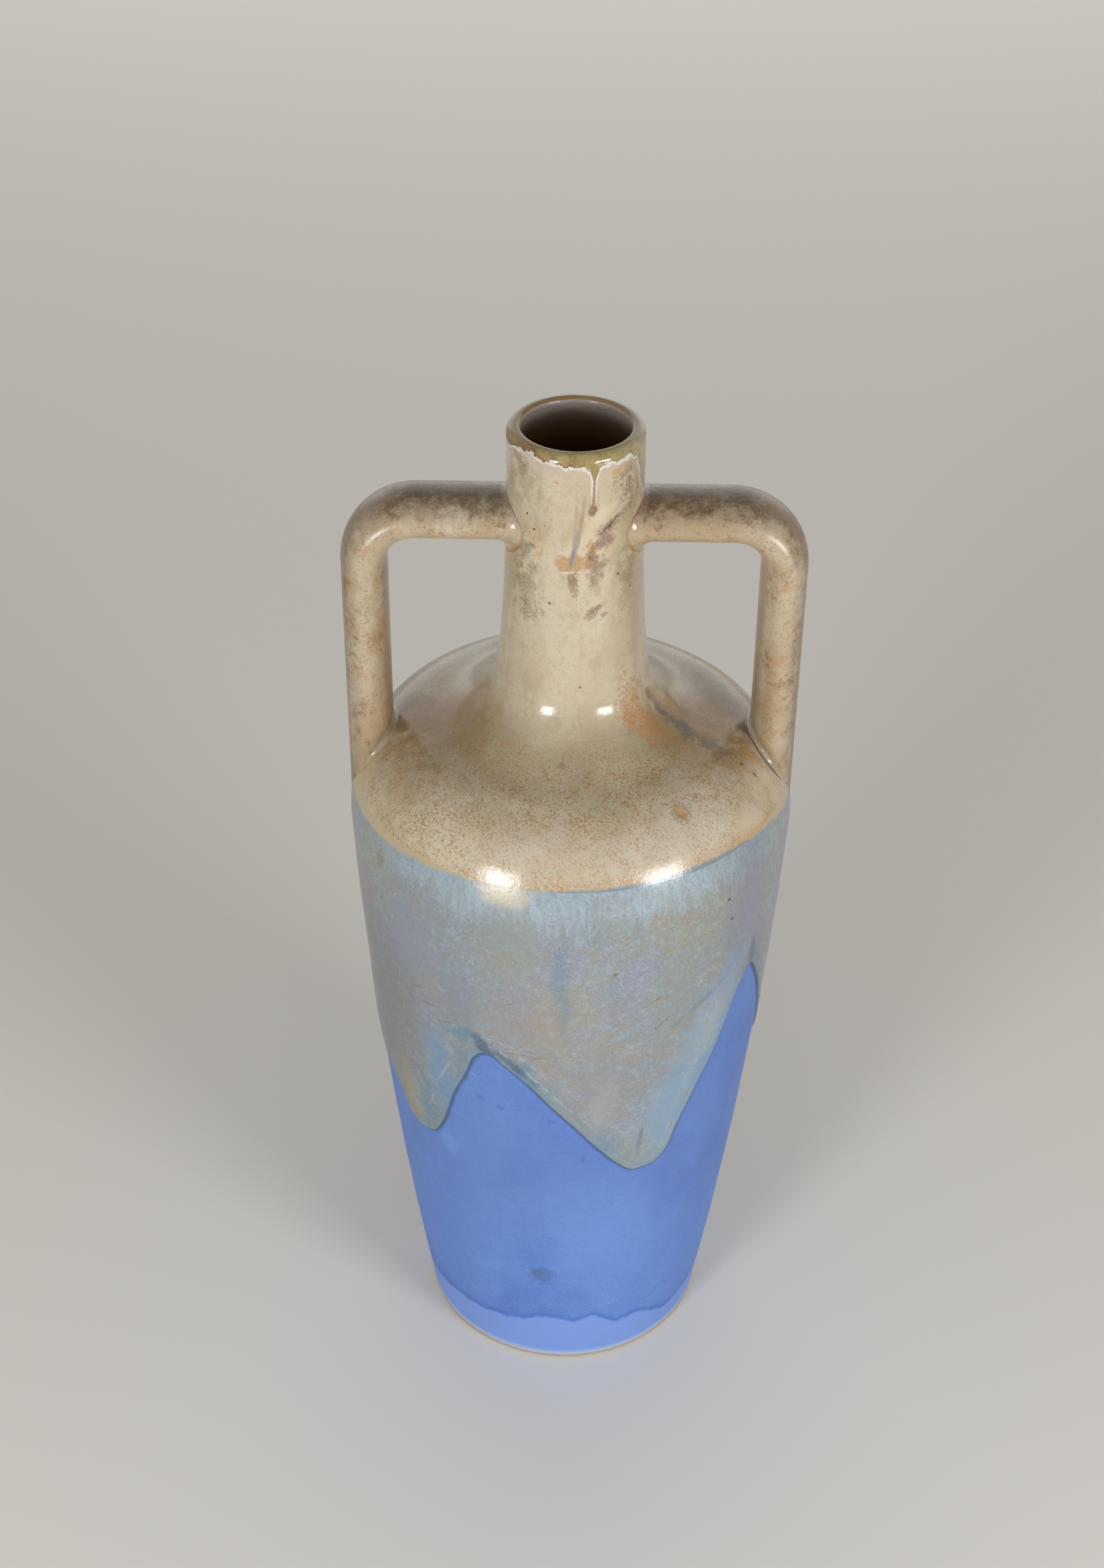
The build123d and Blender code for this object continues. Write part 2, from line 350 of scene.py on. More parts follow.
class Finish:
    """A material and the nodes that make it up."""

    def __init__(self, name):
        self.material = bpy.data.materials.new(name)
        self.material.use_nodes = True
        self.tree = self.material.node_tree
        self.tree.nodes.clear()
        self.place = self.node("ShaderNodeTexCoord", output="Object")
        self.x, self.y, self.z = (
            self.node("ShaderNodeSeparateXYZ", {}, {"Vector": self.place}, axis) * (1 / MM)
            for axis in "XYZ"
        )
        self.degrees = self.maths("ARCTAN2", self.x, self.y * -1.0) * (180 / math.pi)

    def node(self, kind, settings=None, values=None, output=0):
        """Adds a node, sets it up, fills or links its inputs and gives one of its outputs."""
        made = self.tree.nodes.new(kind)
        for name, value in (settings or {}).items():
            if name == "stops":
                self.set_stops(made.color_ramp, value)
            else:
                setattr(made, name, value)
        for name, value in (values or {}).items():
            socket = socket_of(made.inputs, name)
            if isinstance(value, Channel):
                self.tree.links.new(value.socket, socket)
            else:
                socket.default_value = value
        if not made.outputs:
            return None
        return Channel(self, socket_of(made.outputs, output))

    @staticmethod
    def set_stops(ramp, stops):
        """Gives a ramp its stops, each a place from 0 to 1 and a number."""
        while len(ramp.elements) < len(stops):
            ramp.elements.new(0.5)
        for element, (place, _) in zip(ramp.elements, stops):
            element.position = place
        for element, (_, value) in zip(ramp.elements, stops):
            element.color = (value, value, value, 1.0)

    def maths(self, operation, *values):
        """Works out one operation on numbers or channels."""
        return self.node("ShaderNodeMath", {"operation": operation}, dict(enumerate(values)))

    def step(self, value, low, high, start=0.0, end=1.0):
        """Soft step from start to end as a value goes from low to high."""
        return self.node(
            "ShaderNodeMapRange",
            {"interpolation_type": "SMOOTHSTEP"},
            {"Value": value, "From Min": low, "From Max": high, "To Min": start, "To Max": end},
        )

    def noise(self, size, detail=2.0, roughness=0.5, stretch=(1, 1, 1), shift=0.0, distortion=0.0):
        """Noise from 0 to 1 whose features are about size millimetres across, drawn out by stretch."""
        place = self.node(
            "ShaderNodeMapping",
            {"vector_type": "TEXTURE"},
            {
                "Vector": self.place,
                "Location": (shift * MM, shift * MM, shift * MM),
                "Scale": [size * MM * part for part in stretch],
            },
        )
        return self.node(
            "ShaderNodeTexNoise",
            {"noise_dimensions": "3D"},
            {
                "Vector": place,
                "Scale": 1.0,
                "Detail": detail,
                "Roughness": roughness,
                "Distortion": distortion,
            },
        )

    def fine(self):
        """Grain of a millimetre that most of the glazes have."""
        return self.noise(1.0, 3.0, 0.65, shift=47.0)

    def ragged(self):
        """Ragged clouds that the edges of the glazes follow."""
        return self.noise(3.8, 5.0, 0.7, shift=43.0)

    def mix(self, share, under, over):
        """Lays one colour over another."""
        return self.node(
            "ShaderNodeMix",
            {"data_type": "RGBA"},
            {"Factor_Float": share, "A_Color": under, "B_Color": over},
            "Result_Color",
        )

    def spot(self, centre, size, turn, uneven, soft, flat=False):
        """Mask of an oval patch, leaning by turn on a wall, or about the vertical where it lies flat."""
        lean = (0.0, math.radians(turn), math.radians(azimuth(centre)))
        if flat:
            lean = (0.0, 0.0, math.radians(azimuth(centre) + turn))
        values = {
            "Vector": self.place,
            "Location": centre * MM,
            "Rotation": lean,
            "Scale": [SPOT_REACH * MM * half for half in size],
        }
        local = self.node("ShaderNodeMapping", {"vector_type": "TEXTURE"}, values)
        near = self.node("ShaderNodeTexGradient", {"gradient_type": "SPHERICAL"}, {"Vector": local}, "Fac")
        away = self.maths("MULTIPLY_ADD", near, -SPOT_REACH, uneven)
        return self.step(away, 1 - soft - SPOT_REACH, 1 + soft - SPOT_REACH, 1.0, 0.0)

    def edge_height(self, knots, low, high):
        """Height that follows knots of (degrees, height) round the bottle."""
        stops = [((degrees + 180) / 360, (height - low) / (high - low)) for degrees, height in knots]
        ramp = self.node("ShaderNodeValToRGB", {"stops": stops}, {0: (self.degrees + 180) / 360})
        return ramp * (high - low) + low

    def across(self):
        """Distance from the bottle's axis."""
        return self.maths("SQRT", self.x * self.x + self.y * self.y)

    def bore_mask(self):
        """The bore of neck and lip."""
        return self.step(self.across(), BORE_RADIUS + 0.25, BORE_RADIUS + 0.08)

    def bore_tone_and_shade(self):
        """Brown glaze of the bore with painted shade: darker deeper down, mauve-grey close to the mouth."""
        brown = self.mix(self.step(self.z, 286.0, 294.0), BORE_DEEP, BORE_BROWN)
        return self.mix(self.step(self.z, 292.5, 299.4), brown, MOUTH_GREY)

    def attribute(self, name):
        """A number that the mesh holds for each of its points."""
        return self.node("ShaderNodeAttribute", {"attribute_name": name}, output="Fac")

    def bump(self, *layers):
        """Normal from several (height, depth in millimetres) layers."""
        normal = None
        for height, depth in layers:
            values = {"Height": height, "Distance": depth * MM, "Strength": 1.0}
            if normal is not None:
                values["Normal"] = normal
            normal = self.node("ShaderNodeBump", {}, values)
        return normal

    def glaze(self, colour, roughness, normal=None, specular=0.5):
        """Ends the finish in one shader."""
        values = {"Base Color": colour, "Roughness": roughness, "IOR": 1.5, "Specular IOR Level": specular}
        if normal is not None:
            values["Normal"] = normal
        shader = self.node("ShaderNodeBsdfPrincipled", {}, values)
        self.node("ShaderNodeOutputMaterial", {}, {"Surface": shader})
        return self.material


# Colours of the glazes and the clay
CREAM = ink("c3b7a0")
BEIGE = ink("b2a386")
BEIGE_GREY = ink("a89b85")
STRAW = ink("bfa676")
STRAP_BEIGE = ink("a49074")
STRAP_PALE = ink("b8ac96")
KHAKI = ink("8f8060")
TAN = ink("8c6c40")
OCHRE = ink("b58a54")
PEACH = ink("c4b398")
RUST = ink("ab7642")
BROWN = ink("785a42")
UMBER = ink("4c3826")
OLIVE = ink("6f6446")
LIP_OLIVE = ink("87723a")
LIP_PALE = ink("cfc8c1")
MAUVE = ink("7d6757")
SLATE = ink("5c5a58")
INK_BROWN = ink("33251d")
FLECK = ink("a87844")
SMEAR = ink("aa8354")
STREAK = ink("94877c")
STREAK_END = ink("72797a")
LILAC = ink("828495")
DUSK = ink("6b686f")
PALE_BLUE = ink("95a7b4")
WHITE_BLUE = ink("adbac3")
GREY_BLUE = ink("7a868d")
SAGE = ink("868a80")
PINK_GREY = ink("8e837e")
TURQUOISE = ink("52778e")
STREAM = ink("6585a6")
DEEP_TEAL = ink("344f66")
BLUE = ink("5e7fbf")
BLUE_LIGHT = ink("6e8fcd")
BLUE_DEEP = ink("5473b7")
BLUE_GREY = ink("5f76a8")
BLUE_PALE = ink("88a0d4")
SMUDGE = ink("4d5c80")
FOOT_RIM = ink("a9b3c6")
FLECK_DEEP = ink("966c3e")
FLECK_DARK = ink("6e5c40")
RUN_BROWN = ink("957250")
BORE_DEEP = ink("4a2c14")
BORE_BROWN = ink("6e5136")
MOUTH_GREY = ink("b8aaa4")
LIP_BLUSH = ink("b1a298")
LIP_STRAW = ink("a1925f")
LIP_SHEEN_GREY = ink("9e9a80")
LIP_DEEP = ink("7d6530")
LIP_AMBER = ink("84592a")
LIP_GOLD = ink("86651f")
RUN_KHAKI = ink("8a7a5c")
STRAP_TAN = ink("97805f")
STRAP_RUST = ink("a47c54")
STRAP_UMBER = ink("4f3512")
STRAP_BROWN = ink("6b4a30")
STRAP_FLECK = ink("5f4a34")
COLLAR_BROWN = ink("6b4a28")
COLLAR_TAN = ink("9c764e")
CLAY = ink("8f8474")
CLAY_PALE = ink("aca18f")
CLAY_RING = ink("7f7260")
FOOT_BAND = ink("7693d0")
FOOT_BAND_EDGE = ink("496bb6")

# Colours of the studio
FLOOR_WHITE = ink("e4e1db")
SURROUND_WHITE = ink("fdfaf4")

# Line between the beige dome and the grey-blue drip glaze, as (degrees, height)
DOME_LINE = (
    (-180, 196.2), (-140, 195.4), (-110, 194.2), (-77.6, 193.6), (-51.9, 194.9), (-30, 196.6),
    (-9.5, 197.4), (11, 198.1), (28.6, 198.7), (47.7, 198.3), (65.9, 195.8), (76.2, 193.7),
    (110, 193.9), (145, 195.6), (180, 196.2),
)

# Lower edge of the olive glaze on the lip, with the run that leaves it
LIP_LINE = (
    (-180, 298.4), (-150, 298), (-125, 298.6), (-100, 298.2), (-69.7, 297.4), (-60, 298.4),
    (-49.3, 298.7), (-42, 299), (-33.1, 298.3), (-27.8, 297.8), (-21.6, 298), (-14.1, 297.5),
    (-8.3, 296.6), (-1.4, 297.4), (6.9, 297.2), (12, 296.4), (18.5, 296.5), (22.8, 297.3),
    (30.6, 297.6), (37.3, 297.2), (44.7, 297.6), (51.1, 297.6), (58, 296.3), (63, 293),
    (68, 288.5), (75, 284.5), (84, 285), (92, 292), (104, 297.6), (125, 298.4),
    (150, 297.8), (180, 298.4),
)

# Wavy edge of the thicker blue above the foot
FOOT_LINE = (
    (-180, 17), (-150, 20), (-125, 15.5), (-95, 19), (-70, 14.5), (-45, 16.7),
    (-32, 16.7), (-15.6, 19), (-6, 22.1), (5, 19.6), (11.6, 22.7), (21.7, 16),
    (30, 17.9), (46, 10.7), (80, 16), (110, 19.5), (135, 14), (160, 18.5),
    (180, 17),
)

# Marks are (degrees, height, half width, half length, degrees of lean, colour, strength, raggedness).
NECK_MARKS = (
    (-53, 295.6, 2.2, 4.2, -66, BROWN, 0.65, 3.2), (-46, 295.4, 1.2, 2.4, -60, UMBER, 0.35, 3.2),
    (-46, 291, 2.6, 4.5, 0, KHAKI, 0.45, 2.6), (-66, 288, 3, 6, 0, KHAKI, 0.5, 2.4),
    (-56, 280, 2.5, 6, 0, BEIGE_GREY, 0.5, 2.4), (-30, 288, 1, 8, 0, KHAKI, 0.25, 2.6),
    (45, 293.6, 2, 3, 55, BROWN, 0.6, 3.2), (38.5, 294.8, 1.1, 2.6, 68, OCHRE, 0.95, 1.8),
    (48.1, 288.2, 2.5, 3.1, 20, MAUVE, 0.6, 3.2), (49, 289, 1.2, 1.8, 20, BROWN, 0.35, 3.2),
    (55, 283, 1.8, 4, 25, KHAKI, 0.5, 2.4), (42, 275, 3.4, 7, 10, KHAKI, 0.3, 2.4),
    (19, 283, 2.4, 2.6, 40, PEACH, 0.75, 2.2), (10, 277.5, 2.4, 5.5, 22, PEACH, 0.6, 2.4),
    (25, 284.4, 1.4, 3.2, 60, PEACH, 0.7, 2.2), (5, 271, 2.2, 4.6, 18, PEACH, 0.45, 2.6),
    (28, 274, 2.6, 5.5, 40, STRAW, 0.4, 2.4), (19, 270, 2, 6, 10, PEACH, 0.5, 2.4),
    (43, 282.8, 1.1, 3.2, 68, MAUVE, 0.6, 3.2), (33.5, 280.2, 1.3, 2.8, 58, BROWN, 0.8, 3.2),
    (25, 276.8, 2.2, 4, 34, BROWN, 0.8, 2.8), (27.4, 279.4, 0.5, 3.2, 50, UMBER, 0.7, 2.4),
    (21, 275, 1.8, 3.2, 26, MAUVE, 0.7, 3.2), (14, 273.4, 1.2, 2.2, 14, OCHRE, 0.75, 3.2),
    (12, 275, 0.8, 1.6, 30, RUST, 0.6, 3.2), (15.6, 270.6, 2.2, 3.4, -6, BROWN, 0.8, 2.8),
    (12.6, 270.6, 0.5, 2, 14, UMBER, 0.6, 2.4), (17, 267.2, 1.8, 3.4, -8, MAUVE, 0.6, 3.2),
    (14.6, 264.8, 0.8, 1.8, -8, BROWN, 0.6, 2.4), (19, 262.5, 1, 2.4, -8, KHAKI, 0.5, 2.4),
    (-2.4, 272.9, 1.8, 2.2, 0, PEACH, 0.7, 2.4), (-2.8, 269.7, 3.9, 2.7, 0, SMEAR, 0.95, 2),
    (2.6, 271.2, 1.6, 1.3, 30, SMEAR, 0.8, 1.8), (-2, 267.35, 0.26, 2.9, 88, LIP_PALE, 0.85, 0.9),
    (3, 278.6, 0.45, 8.6, 9, STREAK, 0.8, 2.2), (0.6, 281.5, 0.4, 6.5, 2, STREAK, 0.6, 2.2),
    (4.6, 279, 0.35, 4.8, 8, RUST, 0.55, 2.2), (0.4, 274.4, 0.7, 5.2, 11, STREAK, 0.9, 1.6),
    (-1.9, 271.2, 0.5, 2.6, 11, STREAK_END, 0.9, 0.9), (-0.9, 264.9, 1.2, 2.6, -8, BROWN, 0.9, 2.2),
    (0.6, 262, 0.9, 2, -8, KHAKI, 0.8, 2.4), (17, 256.3, 0.8, 2.7, 58, BROWN, 0.98, 2),
    (14, 254.6, 0.7, 1.8, 60, OLIVE, 0.7, 2.2), (25.4, 254.6, 0.6, 1.1, 70, MAUVE, 0.8, 2),
    (-33.4, 275, 1.3, 3, 0, OCHRE, 0.6, 4.6), (-30.5, 271.8, 1.3, 2, 10, OCHRE, 0.5, 4.6),
    (49.5, 266.8, 3, 5, 12, OLIVE, 0.5, 4), (46.5, 259, 2.4, 5, 16, OLIVE, 0.42, 4),
    (62, 261, 2.6, 9, 0, KHAKI, 0.55, 3.2), (-45, 269, 2.2, 4.2, 8, OLIVE, 0.65, 4),
    (-40.5, 261.5, 3, 6, 0, OLIVE, 0.65, 4), (-38.5, 254.4, 2.8, 2.6, 0, OLIVE, 0.65, 4),
    (-62, 262, 2.8, 9, 0, KHAKI, 0.7, 3.2), (-15.3, 292.5, 0.7, 0.45, 0, SMEAR, 0.7, 0.8),
    (14.7, 285.1, 1.05, 1.25, 0, BROWN, 0.98, 1.8), (13.4, 283.8, 1, 0.6, 0, MAUVE, 0.8, 2),
    (61, 289, 0.35, 5, -20, BROWN, 0.5, 1.6),
    (-42.4, 281.6, 0.3, 0.3, 0, INK_BROWN, 1, 0.3), (-34.9, 277.9, 0.3, 0.3, 0, INK_BROWN, 1, 0.3),
    (-19.6, 257.9, 0.42, 0.36, 0, INK_BROWN, 1, 0.3), (38.1, 265.1, 0.36, 0.38, 0, INK_BROWN, 1, 0.3),
    (52.5, 259.8, 0.34, 0.32, 0, INK_BROWN, 1, 0.3), (5.9, 234.1, 0.36, 0.34, 0, INK_BROWN, 0.9, 0.3),
    (-25, 279.7, 0.24, 0.24, 0, BROWN, 0.8, 0.3), (46, 229.5, 1.8, 2.4, 10, RUST, 0.35, 3.6),
    (150, 270, 2.5, 6, 10, OLIVE, 0.6, 3.6), (-160, 280, 1.8, 5, -15, BROWN, 0.65, 2.4),
    (175, 255, 2, 4, 20, KHAKI, 0.6, 3), (120, 250, 1.6, 3.4, 0, OCHRE, 0.5, 3),
    (-125, 255, 2.2, 6, 0, OLIVE, 0.6, 3.4), (-170, 262, 1.2, 4, 25, RUST, 0.5, 3.2),
)

# On the dome they are (degrees, distance from the axis, half width, half length outwards, lean, ...).
DOME_MARKS = (
    (-92, 43, 7, 8, 0, BROWN, 0.65, 1.6), (-80, 40, 5, 5, 0, BROWN, 0.5, 1.8),
    (-78, 34, 12, 12, 0, TAN, 0.75, 1.4), (-52, 36, 13, 9, 0, KHAKI, 0.5, 1.4),
    (-64, 50, 12, 6.5, 0, TAN, 0.55, 1.4), (-78, 56.5, 5, 3, 0, STRAW, 0.7, 1.4),
    (93, 38, 13, 10, 0, TAN, 0.85, 1.6), (78, 34, 7, 10, 0, BROWN, 0.55, 2.2),
    (116, 41, 8, 8, 0, OLIVE, 0.4, 1.6), (66, 38, 9, 11, 0, TAN, 0.6, 1.6),
    (64, 28, 7, 6, 0, KHAKI, 0.6, 1.8), (45, 27, 8, 4, 0, KHAKI, 0.4, 2),
    (70, 24.9, 1.6, 3.4, 8, SLATE, 0.6, 2.6), (72.2, 30.5, 2.6, 4.8, 0, SLATE, 0.8, 2.8),
    (70.6, 36.4, 2.8, 4.4, -12, OLIVE, 0.8, 3.2), (69.2, 41.6, 2.8, 3.8, -8, MAUVE, 0.7, 3.2),
    (76.5, 27.5, 2, 5, 8, OCHRE, 0.6, 3.4), (76, 37, 1.6, 5, 0, OCHRE, 0.5, 3.4),
    (50.3, 24.4, 4.4, 3.4, 0, RUST, 0.7, 4.2), (42.5, 22.2, 2.6, 2, 0, RUST, 0.7, 4.2),
    (56, 28, 2.4, 2.4, 0, RUST, 0.4, 4.2), (60, 33, 1.6, 2, 0, RUST, 0.25, 4.2),
    (-4.7, 30.3, 1, 0.8, 0, OLIVE, 0.5, 1.4), (-38.9, 28, 1, 0.8, 0, RUST, 0.5, 2.4),
    (68.5, 48.7, 0.45, 0.45, 0, INK_BROWN, 1, 0.3), (69, 52.3, 0.48, 0.65, 0, UMBER, 0.95, 0.6),
    (68.7, 50.5, 1.4, 3.8, 10, RUST, 0.4, 4), (73.5, 55, 4, 4, 0, PEACH, 0.7, 2),
    (75.5, 51, 1.8, 4.5, 0, RUST, 0.6, 4), (66, 54.2, 3.4, 3.4, 0, PEACH, 0.55, 2),
    (57, 57.2, 5, 2.6, 0, PEACH, 0.85, 1.4), (86, 50, 3.4, 4.5, 0, BROWN, 0.8, 2.2),
    # The two wide pale marks at 53 mm across the front are painted light on the shoulder's edge.
    (28, 53, 16, 4.6, 0, LIP_PALE, 0.34, 1.4), (-8, 53, 17, 4.6, 0, LIP_PALE, 0.28, 1.4),
    (160, 40, 3, 5, 20, RUST, 0.5, 3.4), (-150, 35, 1.2, 6, 10, MAUVE, 0.7, 2.8),
    (125, 50, 6, 3, 0, OCHRE, 0.4, 2.4), (-118, 50, 7, 4, 0, BROWN, 0.4, 2),
    (-170, 48, 3, 2, 0, RUST, 0.5, 3.4),
)

# Crater in the dome's glaze, as (degrees, distance from the axis)
CRATER = (35.6, 49.0)

# The dusky marks on both flanks, at -64, -50, 52 and 62 degrees, are a brownish mottle and partly painted
# shade where the coat turns to the sides.
COAT_MARKS = (
    (-64, 128, 11, 36, 0, DUSK, 0.85, 1.6), (-50, 140, 8, 26, 0, DUSK, 0.5, 1.8),
    (-30, 152, 5, 9, 0, TURQUOISE, 0.5, 2.4), (-11, 131, 3.6, 5, 0, TURQUOISE, 0.7, 2),
    (30, 156, 6, 16, 10, GREY_BLUE, 0.5, 2.4), (52, 172, 9, 22, 0, DUSK, 0.4, 1.8),
    (62, 150, 8, 12, 0, DUSK, 0.45, 1.8), (10, 120, 2.4, 9, 8, PALE_BLUE, 0.4, 2.6),
    (88, 165, 12, 12, 0, PINK_GREY, 0.4, 2.6), (-85, 172, 12, 12, 0, SAGE, 0.4, 2.6),
    (104, 140, 9, 16, 20, GREY_BLUE, 0.5, 2.6),
    (-108, 130, 8, 14, -20, TURQUOISE, 0.4, 2.6),
    (-44, 168, 8, 14, 0, LILAC, 0.55, 1.8), (52, 176, 8, 14, 0, LILAC, 0.5, 1.6),
    (-10, 150, 16, 14, 0, PINK_GREY, 0.5, 1.8), (8, 126, 9, 13, 20, PINK_GREY, 0.5, 1.8),
    (-34, 152, 8, 8, 0, PINK_GREY, 0.35, 2.4), (-14, 178, 8, 11, 0, SAGE, 0.6, 1.6),
    (-16.5, 195, 6.4, 3.2, 0, CREAM, 0.9, 1.4), (-2, 171, 2, 9.5, 2, TURQUOISE, 0.45, 2.4),
    (-1.2, 183, 0.7, 6, 0, LILAC, 0.5, 2), (-0.5, 158, 1.6, 8, 2, TURQUOISE, 0.35, 2.6),
    (-23, 139.5, 5.2, 1.8, 60, DEEP_TEAL, 0.75, 1.8), (-29, 141.5, 4.2, 2.2, 0, TURQUOISE, 0.6, 2.4),
    (-15, 135, 1.2, 7, -50, DEEP_TEAL, 0.65, 1.8), (58.2, 156, 1.5, 4.8, 0, DEEP_TEAL, 0.6, 1.8),
    (39.5, 131, 6.5, 27, 22, PALE_BLUE, 0.6, 1.8), (29, 109, 6, 13, 12, PALE_BLUE, 0.4, 2.2),
    (31, 117, 5, 21, 19, STREAM, 0.6, 2.2),
    (20.5, 99, 5, 8, 0, SAGE, 0.5, 2.4), (42, 126, 1.6, 18, 24, STREAM, 0.6, 2.4),
    (49, 158, 4, 9, 30, STREAM, 0.4, 2), (-38, 122, 4.8, 15, -10, STREAM, 0.9, 2.2),
    (-45, 104, 3, 9, 0, TURQUOISE, 0.75, 1.8), (-54, 104, 2.8, 10, -8, KHAKI, 0.7, 2),
    (22.5, 103, 0.7, 5, 4, DEEP_TEAL, 0.4, 2.4), (33, 147, 2.4, 5.5, 50, KHAKI, 0.4, 3.2),
    (37, 150, 0.8, 9, 62, TURQUOISE, 0.5, 2.6), (24, 158, 0.25, 4, 66, BROWN, 0.5, 2.2),
    (-13, 139.4, 0.3, 5, 88, BROWN, 0.6, 2), (-8, 138.9, 0.22, 3, 84, BROWN, 0.5, 2),
    (-40, 147, 0.3, 6, 78, BROWN, 0.6, 2.4), (-34, 143.5, 0.25, 4, 70, BROWN, 0.5, 2.4),
    (-44, 151, 0.25, 3, 70, BROWN, 0.5, 2.4), (-15, 158, 0.2, 2.6, 64, BROWN, 0.5, 1.6),
    (26, 148.5, 0.3, 2.4, 50, BROWN, 0.6, 2), (-56, 188, 1.8, 2.6, 0, BROWN, 0.5, 3.4),
    (44, 184, 0.45, 0.5, 0, UMBER, 0.9, 0.6), (46, 176, 0.45, 0.5, 0, UMBER, 0.9, 0.6),
    (12, 170, 0.45, 0.7, 40, OLIVE, 0.8, 0.8), (-57, 174, 0.4, 0.4, 0, UMBER, 0.8, 0.6),
    (100, 120, 6, 14, 0, STREAM, 0.5, 2), (165, 112, 8, 18, 0, STREAM, 0.6, 2),
    (-150, 160, 10, 12, 0, SAGE, 0.5, 1.8), (-125, 112, 6, 12, 0, STREAM, 0.55, 2),
    (140, 160, 10, 12, 0, PINK_GREY, 0.5, 1.8), (-100, 150, 8, 14, 0, LILAC, 0.5, 1.8),
    (178, 178, 10, 8, 0, LILAC, 0.5, 1.8), (110, 180, 9, 10, 0, PINK_GREY, 0.45, 1.8),
)

BLUE_MARKS = (
    (-7.4, 42.8, 3.4, 3.2, 0, SMUDGE, 0.6, 2.2), (-9, 44.5, 1.3, 1.4, 0, SMUDGE, 0.5, 2.4),
    (-25, 118, 1.4, 1, 0, SMUDGE, 0.4, 2.6), (-19, 116, 1, 1, 0, SMUDGE, 0.4, 2.6),
    (-4, 113.5, 0.9, 0.7, 0, SMUDGE, 0.4, 2.4), (5.5, 98, 0.7, 1.4, 0, SMUDGE, 0.4, 2.4),
    (-38, 92, 3, 4, 0, BLUE_LIGHT, 0.5, 1.8), (-29, 127, 0.35, 3, -78, BLUE_PALE, 0.5, 2.4),
    (48, 140, 0.3, 4, 30, BLUE_PALE, 0.35, 2.4), (15, 58, 14, 20, 0, BLUE_LIGHT, 0.35, 1.4),
    (-14, 96, 12, 12, 0, BLUE_GREY, 0.2, 1.6), (170, 60, 10, 12, 0, BLUE_LIGHT, 0.5, 1.6),
    (-130, 55, 5, 5, 0, BLUE_GREY, 0.5, 2), (120, 80, 10, 16, 0, BLUE_LIGHT, 0.3, 1.6),
)


def paint_beige(finish, pale, deep):
    """Clouded beige from two tones, before its own marks."""
    clouds = finish.noise(20.0, 3.0, 0.55, (1, 1, 1.9))
    grain = finish.noise(2.2, 4.0, 0.65, shift=7.0)
    dust = finish.noise(0.6, 2.0, 0.6, shift=17.0)
    colour = finish.mix(finish.step(clouds, 0.36, 0.6), deep, pale)
    colour = finish.mix(finish.step(grain, 0.45, 0.7) * 0.45, colour, BEIGE_GREY)
    return finish.mix(finish.step(dust, 0.58, 0.68) * 0.35, colour, KHAKI)


def paint_dome(finish, under):
    """Khaki ring and rust flecks of the dome over a beige, fading out at the neck; the khaki ring is partly
    painted shade, and a paler ring beyond it is painted light.
    """
    across = finish.across()
    low = finish.step(finish.z, 227.0, 216.0)
    cloud = finish.noise(12.0, 4.0, 0.6, shift=19.0)
    cluster = finish.noise(5.0, 3.0, 0.6, shift=21.0)
    # Darker khaki ring over the dome's flatter middle: glaze tone, partly painted shade where the dome
    # faces up and catches less light.
    inner_edge = finish.step(across + (cloud - 0.5) * 9.0, 19.0, 27.5)
    outer_edge = finish.step(across + (cloud - 0.5) * 12.0, 46.0, 27.0)
    colour = finish.mix(inner_edge * outer_edge * 0.6, under, KHAKI)
    colour = finish.mix(finish.step(cloud, 0.5, 0.7) * low * 0.25, colour, STRAW)
    # Paler ring where the dome's hollow turns into its bulge: painted light.
    ring = finish.step(across + (cloud - 0.5) * 6.0, 36.5, 40.5) * finish.step(across, 47.0, 41.0) * low
    colour = finish.mix(ring * 0.35, colour, CREAM)
    # The flecks lie closest together at the front
    front = finish.step(abs(finish.degrees + 8.0), 95.0, 30.0)
    density = finish.step(across, 22.0, 34.0, -0.06, 0.02) + (cluster - 0.5) * 0.36 + front * 0.03
    flecks = finish.noise(0.6, 1.0, 0.5, shift=71.0)
    colour = finish.mix(finish.step(flecks + density, 0.635, 0.69) * low * 0.66, colour, FLECK)
    coarse = finish.noise(0.8, 1.0, 0.5, shift=73.0)
    colour = finish.mix(finish.step(coarse + density, 0.68, 0.72) * low * 0.58, colour, FLECK_DEEP)
    dark = finish.noise(0.5, 2.0, 0.6, shift=81.0)
    colour = finish.mix(finish.step(dark + density * 0.3, 0.585, 0.65) * low * 0.5, colour, FLECK_DARK)
    blots = finish.noise(1.6, 2.0, 0.6, shift=85.0)
    return finish.mix(finish.step(blots, 0.66, 0.74) * low * 0.4, colour, OLIVE)


